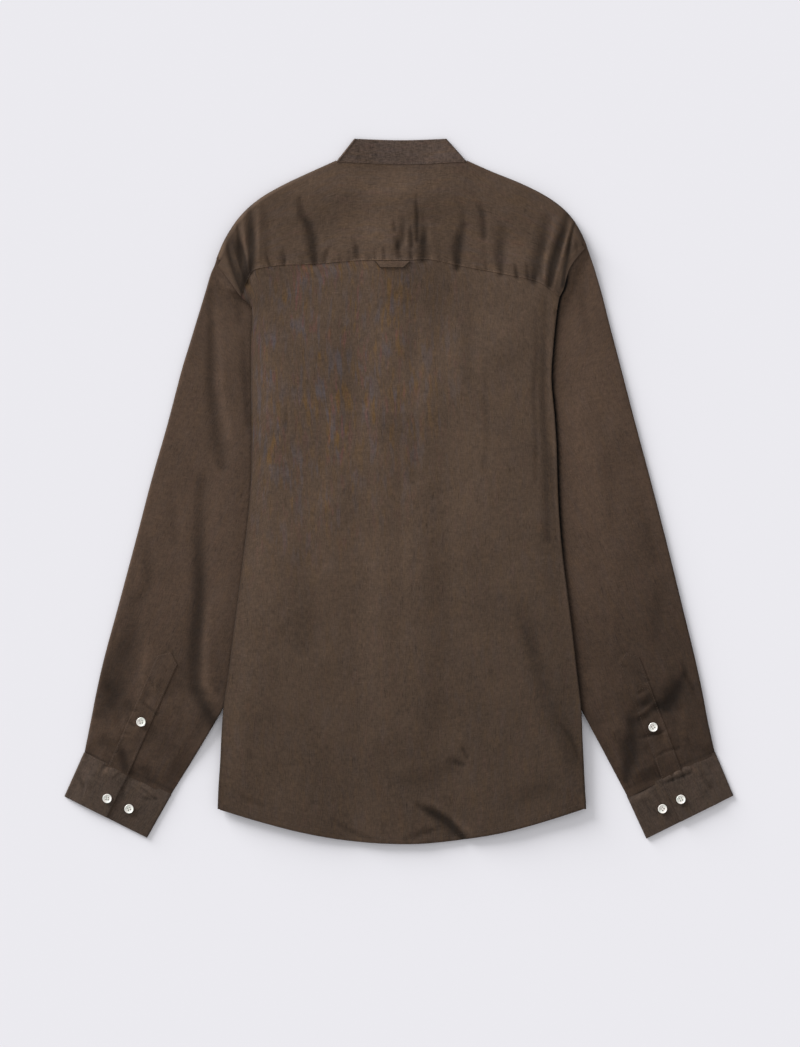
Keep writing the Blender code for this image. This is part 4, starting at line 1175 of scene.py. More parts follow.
def creases(table, points):
    """Painted shade of each point of a grid, by how deep in a trough it lies: 1 in the deepest, below 0 on a
    ridge, which is painted lighter.
    """
    x, y = points[..., 0], points[..., 1]
    rise = folds(table, x, y)
    if table is SLEEVE_FOLDS:
        rise = rise + crumple_at_wrist(x, y)
    elif table is not CUFF_FOLDS:
        # Painted shade in the puckers at the yoke seam and in the hollows at the shoulders and collar
        rise = rise + PUCKER_PAINTED_SHADE * pucker(x, y) + folds(YOKE_PAINTED_HOLLOWS, x, y)
    return np.clip(np.nan_to_num(-rise / CREASE_DEPTH), LIGHTEST, DARKEST)


TUCK_CELLS = 8
WING_CELLS = ROLL_STEPS + 1 + TUCK_CELLS
HEM_TURN_STEPS = 4


def wing(side, edge, panel):
    """A panel's side, folded over: the points in from each point of its edge, and where they start in plan.

    The back's sides fold in under it, the fronts' over them.
    """
    tuck = panel + "_tuck"
    y = edge[:, 1]
    share = np.maximum(smooth_step((FOLD_TOP - y) / TUCK_OPENS), LEAST_ROLL)
    if panel == "back":
        rolled = roll(edge, (-side, 0.0), tuck, panel, share)
    else:
        rolled = roll(edge, (-side, 0.0), panel, tuck, share)[:, ::-1]
    start = np.abs(rolled[:, -1, 0])
    inner = np.minimum(at_height(TUCK_EDGE[side], y), start - LEAST_TUCK)
    shares = np.arange(1, TUCK_CELLS + 1) / TUCK_CELLS
    reach = start[:, None] + (inner - start)[:, None] * shares
    plan = np.stack([side * reach, np.repeat(y[:, None], TUCK_CELLS, 1)], axis=-1)
    folded = np.concatenate([rolled, laid(tuck, plan)], axis=1)
    # Above the fold the panel ends at its armhole.
    sewn = y > FOLD_TOP
    inset = np.where(sewn[:, None], edge, rolled[:, 0, :2])
    folded[sewn] = np.nan
    folded[sewn, 0] = laid(panel, edge[sewn])
    return folded, inset


def with_hem(rows, across, way):
    """A panel's rows with a hem beyond the last one in these columns, rolled up or down and turned back."""
    turn = half_turn(HEM_TURN_STEPS)[1:]
    steps = [(-HEM_TURN * math.cos(angle), HEM_TURN * (1 - math.sin(angle))) for angle in turn]
    steps += [(HEM_DEPTH * share, 2 * HEM_TURN) for share in (0.5, 1.0)]
    hem = np.full((len(steps), *rows.shape[1:]), np.nan)
    for row, (back, rise) in zip(hem, steps):
        row[across] = rows[-1, across] + (0.0, back, way * rise)
    return np.concatenate([rows, hem])


BACK_ROWS, BACK_COLUMNS = 230, 168


def back_panel():
    """The back, from the yoke seam to the curved hem, with both its sides folded in under it."""
    wings, insets = {}, {}
    for side in SIDES:
        line = [ARMHOLE[side][YOKE_CORNER[side]]] + fold_edge(side)
        wings[side], insets[side] = wing(side, on_side(side, spread(line, BACK_ROWS + 1)), "back")
    seam = spread(YOKE_SEAM, BACK_COLUMNS + 1)[1:-1] + (0.0, LAP)
    top = np.vstack([insets[LEFT][0], seam, insets[RIGHT][0]])
    bottom = spread(HEM, BACK_COLUMNS + 1)
    bottom[0], bottom[-1] = insets[LEFT][-1], insets[RIGHT][-1]
    body = laid("back", patch(top, bottom, insets[LEFT], insets[RIGHT]))
    rows = np.concatenate([wings[LEFT][:, ::-1], body[:, 1:-1], wings[RIGHT]], axis=1)
    rows = with_hem(rows, slice(WING_CELLS, -WING_CELLS), -1)
    # Painted shade in the creases' troughs, and a painted highlight on their ridges
    deep = creases(YOKE_FOLDS + BACK_FOLDS, rows)
    # The light comes from the left, yet in the photo that edge is a faint dark line.
    # Painted shade: a faint dark line along the fold of the left side
    deep[:, TUCK_CELLS:WING_CELLS] += RIM_PAINTED_SHADE
    return belongs(cloth("back_cloth", rows, BACK_LINEN, deep=deep), "linen", "back_panel")


FRONT_ROWS, FRONT_COLUMNS, NECKLINE_POINTS = 110, 36, 15


def front(side):
    """One front, from the neckline and the front yoke seam to the hem, with its side folded in over it."""
    first = -STAND_PAST_MIDDLE if side == RIGHT else SEWN_BEFORE_MIDDLE
    angles = np.linspace(math.asin(first / NECK_HALF), NECK_YOKE_ANGLE, NECKLINE_POINTS)
    neckline = np.array([neck_front(angle, SEAM_GAP) for angle in angles])
    shoulder = spread(FRONT_YOKE_EDGE[side][1:-1] + (0.0, LAP), FRONT_COLUMNS - NECKLINE_POINTS)
    corner = np.array(ARMHOLE[side][0]) + (-FRONT_CORNER_IN, LAP)
    top = np.vstack([neckline, shoulder, corner])
    line = [corner] + list(armhole_top(side)[1:]) + fold_edge(side)
    line[-1] = (line[-1][0], line[-1][1] + FRONT_HEM_SHORT)
    folded, inset = wing(side, on_side(side, spread(line, FRONT_ROWS + 1)), "front")
    across = side * np.interp(lengths(top), [0.0, 1.0], [first, abs(inset[-1, 0])])
    bottom = np.stack([across, at_x(HEM_LINE, across) + FRONT_HEM_SHORT], axis=1)
    bottom[-1] = inset[-1]
    middle = np.linspace((side * first, top[0][1]), (side * first, bottom[0][1]), FRONT_ROWS + 1)
    body = laid("front", patch(on_side(side, top), bottom, middle, inset))
    rows = with_hem(np.concatenate([body[:, :-1], folded], axis=1), slice(None, -WING_CELLS), 1)
    name = SIDE_NAMES[side]
    return belongs(cloth("front_cloth_" + name, rows, BACK_LINEN), "linen", "front_" + name)


BAND_ROWS, BAND_COLUMNS = 200, 13


def front_band():
    """The strip down the left front, which the buttons hold."""
    high = neck_front(0.0, SEAM_GAP)[1] - BAND_BELOW_NECK
    low = float(at_x(HEM_LINE, 0.0)) + FRONT_HEM_SHORT
    xs = np.linspace(-FRONT_BAND_HALF, FRONT_BAND_HALF, BAND_COLUMNS)
    ys = np.linspace(high, low, BAND_ROWS)
    places = np.stack(np.broadcast_arrays(xs[None, :], ys[:, None]), axis=-1)
    piece = cloth("front_band_cloth", laid("front_band", places), BACK_LINEN, wall=STIFF_CLOTH, rim=SOFT_RIM)
    return belongs(piece, "linen", "front_band")


YOKE_ROWS, SHOULDER_CELLS, NECK_CELLS, ARMHOLE_CELLS, STRIP_ROWS = 90, 104, 80, 26, 8


def yoke():
    """The yoke, from its seam on the back, over both shoulders, to its seams on the front."""
    columns = 2 * SHOULDER_CELLS + NECK_CELLS + 1
    shares = np.linspace(0.0, 1.0, STRIP_ROWS + 1)[None, 1:, None]
    strips, insets, armholes = {}, {}, {}
    for side in SIDES:
        outline = spread(SHOULDER[side], SHOULDER_CELLS + 1)
        rolled = roll(on_side(side, outline), on_side(side, right_of(outline)), "front_yoke", "yoke")
        sewn = on_side(side, front_yoke_edge(outline))
        strip = laid("front_yoke", rolled[:, -1, None, :2] * (1 - shares) + sewn[:, None] * shares)
        strips[side] = np.concatenate([rolled[:, 1:], strip], axis=1).transpose(1, 0, 2)[::-1]
        insets[side] = rolled[:, 0, :2]
        armholes[side] = on_side(side, spread(armhole_top(side), ARMHOLE_CELLS + 1))
    neck = spread(NECK_BACK, NECK_CELLS + 1)
    top = np.vstack([insets[LEFT][::-1], neck[1:-1], insets[RIGHT]])
    seam = spread(YOKE_SEAM, columns - 2 * ARMHOLE_CELLS)[1:-1]
    bottom = np.vstack([armholes[LEFT], seam, armholes[RIGHT][::-1]])
    left, right = (spread([top[k], bottom[k]], YOKE_ROWS + 1) for k in (0, -1))
    folded = np.full((len(strips[LEFT]), columns, 3), np.nan)
    folded[:, : SHOULDER_CELLS + 1] = strips[LEFT][:, ::-1]
    folded[:, -SHOULDER_CELLS - 1 :] = strips[RIGHT]
    rows = np.concatenate([folded, laid("yoke", patch(top, bottom, left, right))])
    # Painted shade in the creases' troughs, and a painted highlight on their ridges
    deep = creases(YOKE_FOLDS + BACK_FOLDS, rows)
    # Painted highlight: the seam's edge is painted lighter, as if it catches the light.
    deep[-1] -= SEAM_PAINTED_HIGHLIGHT
    deep[-2] -= SEAM_PAINTED_HIGHLIGHT / 2
    return belongs(cloth("yoke_cloth", rows, YOKE_LINEN, deep=deep), "linen_yoke", "yoke")


def collar_section(side, angle):
    """Seam and top of the collar's front half at an angle of the neckline, as x and y."""
    base = neck_front(angle, -COLLAR_INSIDE)
    share = max(angle, 0.0) / (math.pi / 2)
    lean = COLLAR_LEAN * share
    length = COLLAR_HEIGHT + COLLAR_SIDE_EXTRA * share
    top = base + length * np.array([-math.sin(lean), math.cos(lean)]) - (COLLAR_IN[side] * share, 0.0)
    return on_side(side, base), on_side(side, top)


def collar_rim(count):
    """The upper rim of the collar's back half, from left to right."""
    left, right = (collar_section(side, math.pi / 2)[1] for side in SIDES)
    return spread([left, (0.0, left[1] - COLLAR_RIM_SAG), right], count)


COLLAR_ROWS, COLLAR_BACK_CELLS, COLLAR_FRONT_CELLS = 12, 52, 30


def collar_band():
    """The band round the neck: its back half lies on its front halves, whose ends overlap at the middle."""
    shares = np.linspace(0.0, 1.0, COLLAR_ROWS + 1)[:, None]
    layers = {LEFT: "front_band", RIGHT: "front_yoke"}
    halves, ends = {}, {}
    for side in SIDES:
        angles = np.linspace(-COLLAR_LAP_ANGLE, COLLAR_FRONT_END, COLLAR_FRONT_CELLS)
        lines = [collar_section(side, angle) for angle in angles]
        halves[side] = [laid(layers[side], base + (top - base) * shares) for base, top in lines]
        base, top = collar_section(side, math.pi / 2)
        base = base - (0.0, LAP / 2)
        rolled = roll(base + (top - base) * shares, (-side, 0.0), layers[side], "collar")
        ends[side] = [rolled[:, k] for k in range(rolled.shape[1])]
    seam = spread(NECK_BACK, COLLAR_BACK_CELLS + 1) - (0.0, LAP / 2)
    rim = collar_rim(COLLAR_BACK_CELLS + 1)
    back = [laid("collar", low + (high - low) * shares) for low, high in list(zip(seam, rim))[2:-2]]
    columns = np.stack(halves[LEFT] + ends[LEFT][::-1] + back + ends[RIGHT] + halves[RIGHT][::-1], axis=1)
    flat_back = slice(len(halves[LEFT]) + ROLL_STEPS, -len(halves[RIGHT]) - ROLL_STEPS)
    columns[:, flat_back, 2] -= COLLAR_PRESSED
    deep = np.zeros(columns.shape[:2])
    # Painted highlight along the seam edge of the collar's back half
    deep[0, flat_back] = -SEAM_PAINTED_HIGHLIGHT
    piece = cloth("collar_cloth", columns, COLLAR_LINEN, wall=COLLAR_CLOTH, rim=SOFT_RIM * 0.8, deep=deep)
    return belongs(piece, "linen_yoke", "collar_band")


# The loop's grid, how square its section is, up and across, and its painted shade at the ends and painted
# highlight between them
LOOP_CELLS_ROUND, LOOP_CELLS_ALONG = 32, 40
LOOP_SQUARE_UP, LOOP_SQUARE_ACROSS = 1.6, 2.2
LOOP_END_PAINTED_SHADE, LOOP_PAINTED_HIGHLIGHT = 1.1, -0.3


def hanger_loop():
    """The flat loop below the yoke seam: a strip folded lengthwise into a tape, so a flattened tube."""
    half, thin = (LOOP_HEIGHTS[0] - LOOP_HEIGHTS[1]) / 2, (TAPE - TAPE_CLOTH) / 2
    middle = (LOOP_HEIGHTS[0] + LOOP_HEIGHTS[1]) / 2
    rows = []
    for angle in np.linspace(0.0, 2 * math.pi, LOOP_CELLS_ROUND + 1):
        up, rise = math.cos(angle), math.sin(angle)
        off = (half - thin) * np.clip(up * LOOP_SQUARE_UP, -1.0, 1.0) + thin * up
        share = 0.5 - off / half / 2
        ends = [LOOP_TOP[k] + (LOOP_BOTTOM[k] - LOOP_TOP[k]) * share for k in (0, 1)]
        row = laid("back", np.linspace((ends[0], middle), (ends[1], middle), LOOP_CELLS_ALONG + 1), LOOP_RISE)
        row += (0.0, off, thin * np.clip(rise * LOOP_SQUARE_ACROSS, -1.0, 1.0))
        rows.append(row)
    rows = np.stack(rows)
    deep = np.full(rows.shape[:2], LOOP_PAINTED_HIGHLIGHT)
    deep[:, :2] = deep[:, -2:] = LOOP_END_PAINTED_SHADE
    piece = cloth("hanger_loop_tape", rows, YOKE_LINEN, wall=TAPE_CLOTH, deep=deep)
    return belongs(piece, "linen_yoke", "hanger_loop")


# Sleeves


SLEEVE_ROW_CELLS, OVER_CELLS, UNDER_CELLS = 15, 62, 12
# How far a sleeve's end goes into its cuff, how much it narrows there, and over how long it is drawn together
INTO_CUFF = 0.0035
INTO_CUFF_INSET = 0.0012
CUFF_BLEND = 0.013
# How far below the body's edge the sleeve is sewn to it, and how far out its underside ends
SEWN_BELOW = 0.0011
UNDER_SEAM = 0.0050
# The lift of a sleeve to that edge: how far below the armhole's corner it starts, its growth and its reach
LIFT_BELOW, LIFT_RAMP, LIFT_REACH = 0.004, 0.012, 0.016
# Painted shadow of the body's edge on the sleeves: how dark it is beside that edge and how far out from it,
# and how much less below and above
BODY_PAINTED_SHADOW = {LEFT: (0.7, 0.0020), RIGHT: (2.2, 0.0034)}
BODY_SHADE_FROM, BODY_SHADE_RUN_OUT, BODY_SHADE_LESS_BELOW = -0.030, 0.10, 0.55
BODY_SHADE_TOP, BODY_SHADE_TOP_RAMP, BODY_SHADE_LESS_ABOVE = {LEFT: 0.190, RIGHT: 0.238}, 0.020, 0.75
# Painted light: how much lighter each sleeve is painted in the shadow that the body casts on it, and where
# that is
SHADOW_PAINTED_LIGHT = {LEFT: 0.0, RIGHT: 0.55}
SHADOW_MIDDLE, SHADOW_HALF = 0.033, 0.026
# The painted shade line where a sleeve goes into its cuff
CUFF_LINE_PAINTED_SHADE, CUFF_LINE_HALF = 0.8, 0.0016


def sleeve_ends(side):
    """The outer and the inner end of a sleeve's seam with its cuff."""
    return [on_side(side, line[side][-1]) for line in (SLEEVE_OUTER, SLEEVE_INNER)]


def wrist_way(side):
    """Unit vector in plan from a sleeve's end down into its cuff."""
    return unit(on_side(side, CUFF[side]["outer"]) - sleeve_ends(side)[0])


def sleeve_edges(side):
    """The sleeve's outer and inner edges in plan, row by row, on into the cuff that holds its end."""
    table = refine(SLEEVE[side], SLEEVE_ROW_CELLS)
    outer, inner = on_side(side, table[:, :2]), on_side(side, table[:, 2:])
    shares = np.array([[0.3], [0.65], [1.0]])
    on = wrist_way(side) * INTO_CUFF * shares
    inset = unit(inner[-1] - outer[-1]) * INTO_CUFF_INSET * np.minimum(shares * 2, 1.0)
    return np.vstack([outer, outer[-1] + on + inset]), np.vstack([inner, inner[-1] + on - inset])


def to_cuff(side, points, level):
    """Points between the sleeve's two layers, drawn together near its end to meet those of the cuff."""
    end, inner = sleeve_ends(side)
    if level == 2:
        across = (points[..., :2] - end) @ (inner - end) / ((inner - end) @ (inner - end))
        level = (cuff_height(across, 2) - CUFF_WALL / 2) / CUFF_RISE
    share = 1 - smooth_step((end - points[..., :2]) @ wrist_way(side) / CUFF_BLEND)
    low, high = laid("sleeve_under", points)[..., 2], laid("sleeve_over", points)[..., 2]
    above = (points[..., 2] - low) / (high - low)
    joined = CUFF_WALL / 2 + CUFF_RISE * level * np.minimum(above, 1.0)
    joined = joined + np.maximum(above - 1.0, 0.0) * (high - low)
    height = points[..., 2] * (1 - share) + joined * share
    return np.concatenate([points[..., :2], height[..., None]], axis=-1)


def lift_to_body(side, over, inner):
    """Raises the upper layer along the armhole above the fold, to meet the body's edge that it is sewn to."""
    lift = np.maximum(laid("yoke", inner)[:, 2] - SEWN_BELOW - over[:, -1, 2], 0.0)
    corner = ARMHOLE[side][YOKE_CORNER[side]]
    lift *= smooth_step((inner[:, 1] - corner[1] + LIFT_BELOW) / LIFT_RAMP)
    from_seam = np.linalg.norm(over[..., :2] - inner[:, None], axis=2)
    over[..., 2] += lift[:, None] * (1 - smooth_step(from_seam / LIFT_REACH))


def sleeve_painted_shade(side, rows, cuff_line):
    """How dark each point of a sleeve is painted: in its creases, as a painted shadow beside the body's edge
    and a painted line at its cuff, and how much lighter it is painted in the shadow that the body casts.
    """
    y = rows[..., 1]
    gap = np.abs(rows[..., 0]) - at_height(BODY_EDGE[side], y)
    shade, width = BODY_PAINTED_SHADOW[side]
    shade = shade * (1 - BODY_SHADE_LESS_BELOW * smooth_step((BODY_SHADE_FROM - y) / BODY_SHADE_RUN_OUT))
    above = smooth_step((y - BODY_SHADE_TOP[side]) / BODY_SHADE_TOP_RAMP)
    shade = shade * (1 - BODY_SHADE_LESS_ABOVE * above)
    shade = shade * np.exp(-((gap / width) ** 4))
    shade = shade - SHADOW_PAINTED_LIGHT[side] * np.exp(-(((gap - SHADOW_MIDDLE) / SHADOW_HALF) ** 2))
    short = (cuff_line - rows[..., :2]) @ wrist_way(side)
    line = CUFF_LINE_PAINTED_SHADE * np.exp(-((short / CUFF_LINE_HALF) ** 2))
    return creases(SLEEVE_FOLDS, rows) + line + np.nan_to_num(shade)


def sleeve(side):
    """One sleeve: a flattened tube, open along the armhole and cut by the slit under its placket."""
    outer, inner = sleeve_edges(side)
    width = np.linalg.norm(inner - outer, axis=1)[:, None]
    across = (inner - outer) / width
    open_rows = np.arange(len(outer)) < SLEEVE_ROW_CELLS * UNDERARM_ROW
    outside = roll(outer, across, "sleeve_under", "sleeve_over")
    inside = roll(inner, -across, "sleeve_under", "sleeve_over")
    ends = [np.where(open_rows[:, None], inner + across * UNDER_SEAM, inside[:, k, :2]) for k in (0, -1)]
    before_slit, after_slit = (SLIT_SHARE + way * SLIT_HALF / width for way in (-1, 1))
    count = int(OVER_CELLS * SLIT_SHARE)
    before = np.linspace(0.0, 1.0, count + 1) * before_slit
    after = after_slit + np.linspace(0.0, 1.0, OVER_CELLS - count) * (1 - after_slit)
    shares = np.concatenate([before, after], axis=1)[..., None]
    over = laid("sleeve_over", outside[:, 0, None, :2] * (1 - shares) + ends[0][:, None] * shares)
    shares = np.linspace(0.0, 1.0, UNDER_CELLS + 1)[None, 1:, None]
    under = laid("sleeve_under", outside[:, -1, None, :2] * (1 - shares) + ends[1][:, None] * shares)
    rows = np.concatenate([under[:, ::-1], outside[:, :0:-1], over, inside[:, 1:-1], under[:, [-1]]], axis=1)
    start = UNDER_CELLS + ROLL_STEPS
    slit = start + count
    first, rest = to_cuff(side, rows[:, : slit + 1], 2), to_cuff(side, rows[:, slit + 1 :], 1)
    rows = np.concatenate([first, rest], axis=1)
    lift_to_body(side, rows[:, start : start + over.shape[1]], inner)
    rows[open_rows, 1 - inside.shape[1] :] = np.nan
    deep = sleeve_painted_shade(side, rows, outer[-4])
    cut = (slit, int(np.argmax(inner[:, 1] < SLIT_TOP)))
    name = SIDE_NAMES[side]
    piece = cloth("sleeve_cloth_" + name, rows, SLEEVE_LINEN, deep=deep, cut=cut)
    return belongs(piece, "linen_sleeve", "sleeve_" + name)


def placket_frame(side):
    """A function from (share across, share down) to a point of the placket in plan."""
    top, low = (on_side(side, point) for point in PLACKET[side])
    along = unit(low - top)
    outward = np.array([side * abs(along[1]), abs(along[0])])
    end, inner = sleeve_ends(side)
    seam_way = unit(inner - end)

    def place(share, down):
        start = top + outward * PLACKET_WIDTH * share - along * PLACKET_POINT * (1 - abs(2 * share - 1))
        beside = low + outward * PLACKET_WIDTH * share
        sewn = end + seam_way * np.dot(beside - end, seam_way) + along * INTO_CUFF
        return start + (sewn - start) * down

    return place


PLACKET_ROWS, PLACKET_COLUMNS = 91, 17
PLACKET_END_RISE, PLACKET_END_RAMP = 0.35, 0.06


def placket(side):
    """The strip over the slit: its pointed top on the sleeve, its lower end at the cuff."""
    place = placket_frame(side)
    down = np.linspace(0.0, 1.0, PLACKET_ROWS)
    plan = [[place(share, t) for share in np.linspace(0.0, 1.0, PLACKET_COLUMNS)] for t in down]
    points = to_cuff(side, laid("sleeve_over", np.array(plan)), 2)
    full = PLACKET_END_RISE + (1 - PLACKET_END_RISE) * smooth_step((1 - down) / PLACKET_END_RAMP)
    points[..., 2] += PLACKET_RISE * full[:, None]
    name = SIDE_NAMES[side]
    # Painted shade in the placket's creases
    piece = cloth("placket_cloth_" + name, points, SLEEVE_LINEN, wall=PLACKET_CLOTH,
                  rim=SOFT_RIM * 0.7, deep=creases(SLEEVE_FOLDS, points))
    return belongs(piece, "linen_sleeve", "placket_" + name)


def cuff_frame(side):
    """A function from (share across, share down) to a point of the cuff in plan."""
    corners = [end + wrist_way(side) * 2 * SEAM_GAP for end in sleeve_ends(side)]
    wrist = [on_side(side, CUFF[side][name]) for name in ("outer", "inner")]

    def place(a, b):
        return (corners[0] * (1 - a) + corners[1] * a) * (1 - b) + (wrist[0] * (1 - a) + wrist[1] * a) * b

    return place


def cuff_height(share, level):
    """Middle of the cuff's wall: 0 underneath, 1 in the underlap, 2 in the overlap where that lies on it."""
    if level == 2:
        level = 1 + smooth_step((share - UNDERLAP_CLEAR) / (UNDERLAP_SHARE - 2 * UNDERLAP_CLEAR))
    return CUFF_WALL / 2 + CUFF_RISE * level


CUFF_ROWS, OVERLAP_CELLS, CUFF_UNDER_CELLS, UNDERLAP_CELLS, CUFF_FOLD_STEPS = 44, 34, 20, 40, 6


def cuff(side):
    """One cuff: a strip from its overlap's end, round the outer fold, underneath and back as the underlap."""
    place = cuff_frame(side)
    radius = CUFF_RISE / 2 / np.linalg.norm(place(0.0, 0.0) - place(1.0, 0.0))
    low, middle, high = (float(cuff_height(0.0, level)) for level in (0, 0.5, 1))
    # Round a fold: how far in from its outermost point, and the height
    turn = [(radius * (1 - math.cos(angle)), middle + CUFF_RISE / 2 * math.sin(angle))
            for angle in half_turn(CUFF_FOLD_STEPS)[1:-1]]
    stations = [(a, float(cuff_height(a, 2))) for a in np.linspace(CUFF[side]["lap"], radius, OVERLAP_CELLS)]
    stations += turn
    stations += [(a, low) for a in np.linspace(radius, 1 - radius, CUFF_UNDER_CELLS)]
    stations += [(1 - a, z) for a, z in turn[::-1]]
    stations += [(a, high) for a in np.linspace(1 - radius, UNDERLAP_SHARE, UNDERLAP_CELLS)]
    down = np.linspace(0.0, 1.0, CUFF_ROWS)
    rows = np.array([[np.append(place(a, b), z) for a, z in stations] for b in down])
    upper = rows[..., 2] > high - CUFF_RISE * 0.1
    rows[..., 2] += folds(CUFF_FOLDS, rows[..., 0], rows[..., 1]) * upper
    name = SIDE_NAMES[side]
    # Painted shade in the cuff's creases
    piece = cloth("cuff_cloth_" + name, rows, CUFF_LINEN, wall=STIFF_CLOTH, rim=SOFT_RIM,
                  deep=creases(CUFF_FOLDS, rows) * upper)
    return belongs(piece, "linen_cuff", "cuff_" + name)


# Stitches


# Height that the places of stitches are looked for from, the steepest stitch, and how flat and deep each lies
LOOK_FROM = 0.2
STEEPEST_STITCH = 0.6
STITCH_FLATNESS, STITCH_SUNK = 0.9, 0.35

# Where rows of stitches start and end: heights on the front band, how far out on the fronts' hems, the angle
# on the collar's front, shares down and across the plackets and cuffs, and how far from the cuffs' overlap
BAND_STITCHES = (0.285, -0.392)
FRONT_HEM_STITCHES = (0.02, 0.205)
COLLAR_STITCH_END = 1.3
PLACKET_STITCHES = (0.02, 0.985)
PLACKET_TOP_STITCH = 0.015
PLACKET_BARS = (0.25, 0.29)
CUFF_STITCHES_ACROSS, CUFF_STITCHES_DOWN = (0.02, 0.98), (0.04, 0.96)
CUFF_EDGE_STITCHES = (0.03, 0.97)
LAP_STITCH = 0.016


def touch(tree, x, y, way):
    """Where a piece's upper or lower surface lies and which way it faces, or None where it isn't."""
    hit, normal, _, _ = tree.ray_cast(Vector((x, y, way * LOOK_FROM)), Vector((0.0, 0.0, -way)))
    return None if hit is None else (hit, normal if normal.z * way > 0 else -normal)


def stitching(name, thing, slot, routes, way=1.0):
    """Rows of stitches along routes in plan, each sunk a little into the piece's upper or lower surface."""
    tree = BVHTree.FromObject(thing, bpy.context.evaluated_depsgraph_get())
    size = Matrix.Diagonal((STITCH_LENGTH / 2, STITCH_HALF, STITCH_HALF * STITCH_FLATNESS, 1.0))
    mesh = bmesh.new()
    for route in routes:
        long = np.linalg.norm(np.diff(route, axis=0), axis=1).sum()
        points = spread(route, max(int(long / STITCH_PITCH), 1) + 1)
        for pair in zip(points, points[1:]):
            found = [touch(tree, *point, way) for point in pair]
            if None in found:
                continue
            (start, up), (end, _) = found
            if abs(start.z - end.z) > STITCH_PITCH * STEEPEST_STITCH:
                continue
            along = (end - start).normalized()
            side = up.cross(along).normalized()
            up = along.cross(side)
            turn = Matrix((along, side, up)).transposed().to_4x4()
            middle = Matrix.Translation((start + end) / 2 + up * STITCH_HALF * STITCH_SUNK)
            bmesh.ops.create_icosphere(mesh, subdivisions=1, radius=1.0, matrix=middle @ turn @ size)
    sewn = object_of(name, mesh, [BROWN_THREAD])
    sewn.data.shade_smooth()
    return belongs(sewn, slot)


def sew_body(pieces):
    """The rows of stitching on the body, above and below."""
    seam = spread(YOKE_SEAM[1:-1], 120) + (0.0, EDGE_STITCH)
    armholes = []
    for side in SIDES:
        armhole = on_side(side, spread(armhole_top(side), 24))
        armholes.append(armhole - right_of(armhole) * side * ARMHOLE_STITCH)
    neck = spread(NECK_BACK, 60)[2:-2] + (0.0, EDGE_STITCH - LAP / 2)
    rim = collar_rim(60)[2:-2] - (0.0, EDGE_STITCH)
    below = []
    for side in SIDES:
        angles = np.linspace(0.0, COLLAR_STITCH_END, 30)
        tops = np.array([collar_section(side, angle)[1] for angle in angles])
        below.append(tops - (0.0, EDGE_STITCH))
    off = FRONT_BAND_HALF - BAND_STITCH
    high, low = BAND_STITCHES
    band = [np.linspace((x, high), (x, low), 24) for x in (-off, off)]
    rows = {
        "yoke": stitching("stitching_yoke", pieces["yoke"], "linen_yoke", [seam] + armholes),
        "back": stitching("stitching_hem", pieces["back"], "linen", [HEM_LINE[3:-3] + (0.0, HEM_STITCH)]),
        "collar": stitching("stitching_collar", pieces["collar"], "linen_yoke", [neck, rim]),
        "collar_below": stitching("stitching_collar_front", pieces["collar"], "linen_yoke", below, -1.0),
        "band": stitching("stitching_front_band", pieces["front_band"], "linen", band, -1.0),
    }
    return rows


def sew_side(side, pieces):
    """The rows of stitching on one front's hem, placket and cuff."""
    name = SIDE_NAMES[side]
    out = HEM_LINE[:, 0] * side
    first, last = FRONT_HEM_STITCHES
    hem = HEM_LINE[(out > first) & (out < last)] + (0.0, FRONT_HEM_SHORT + HEM_STITCH)
    place = placket_frame(side)
    edge = EDGE_STITCH / PLACKET_WIDTH
    down = np.linspace(*PLACKET_STITCHES, 30)
    placket_rows = [[place(share, t) for t in down] for share in (edge, 1 - edge)]
    placket_rows.append([place(share, PLACKET_TOP_STITCH) for share in np.linspace(edge, 1 - edge, 9)])
    for bar in PLACKET_BARS:
        placket_rows.append([place(share, bar) for share in np.linspace(edge * 1.5, 1 - edge * 1.5, 9)])
    on_cuff = cuff_frame(side)
    cuff_rows = [[on_cuff(a, b) for a in np.linspace(*CUFF_STITCHES_ACROSS, 40)] for b in CUFF_EDGE_STITCHES]
    lap = CUFF[side]["lap"] - LAP_STITCH
    cuff_rows.append([on_cuff(lap, b) for b in np.linspace(*CUFF_STITCHES_DOWN, 20)])
    rows = {}
    for part, piece_rows, slot, way in (
        ("front", [hem], "linen", -1.0),
        ("placket", placket_rows, "linen_sleeve", 1.0),
        ("cuff", cuff_rows, "linen_cuff", 1.0),
    ):
        title = "stitching_front_hem_" if part == "front" else f"stitching_{part}_"
        key = f"{part}_{name}"
        rows[key] = stitching(title + name, pieces[key], slot, piece_rows, way)
    return rows


# Buttons

# Section: flat back, round edge and rim's inner side as shares of the radius, then how deep the dish is and
# how high its middle as shares of the thickness
BACK_FLAT, ROUND_EDGE, RIM_INSIDE = 0.86, 0.10, 0.88
DISH_DEPTH, DISH_MIDDLE = 0.34, 0.62
RIM_WIDTH = 0.0011
HOLE_RADIUS = 0.00075
HOLE_OFF = 0.00125
THREAD_RADIUS = 0.00022
SHANK_RADIUS = 0.0003
SHANK_BELOW = 0.0012
THREAD_TOP = 0.66
THREAD_LIFT = 0.00012


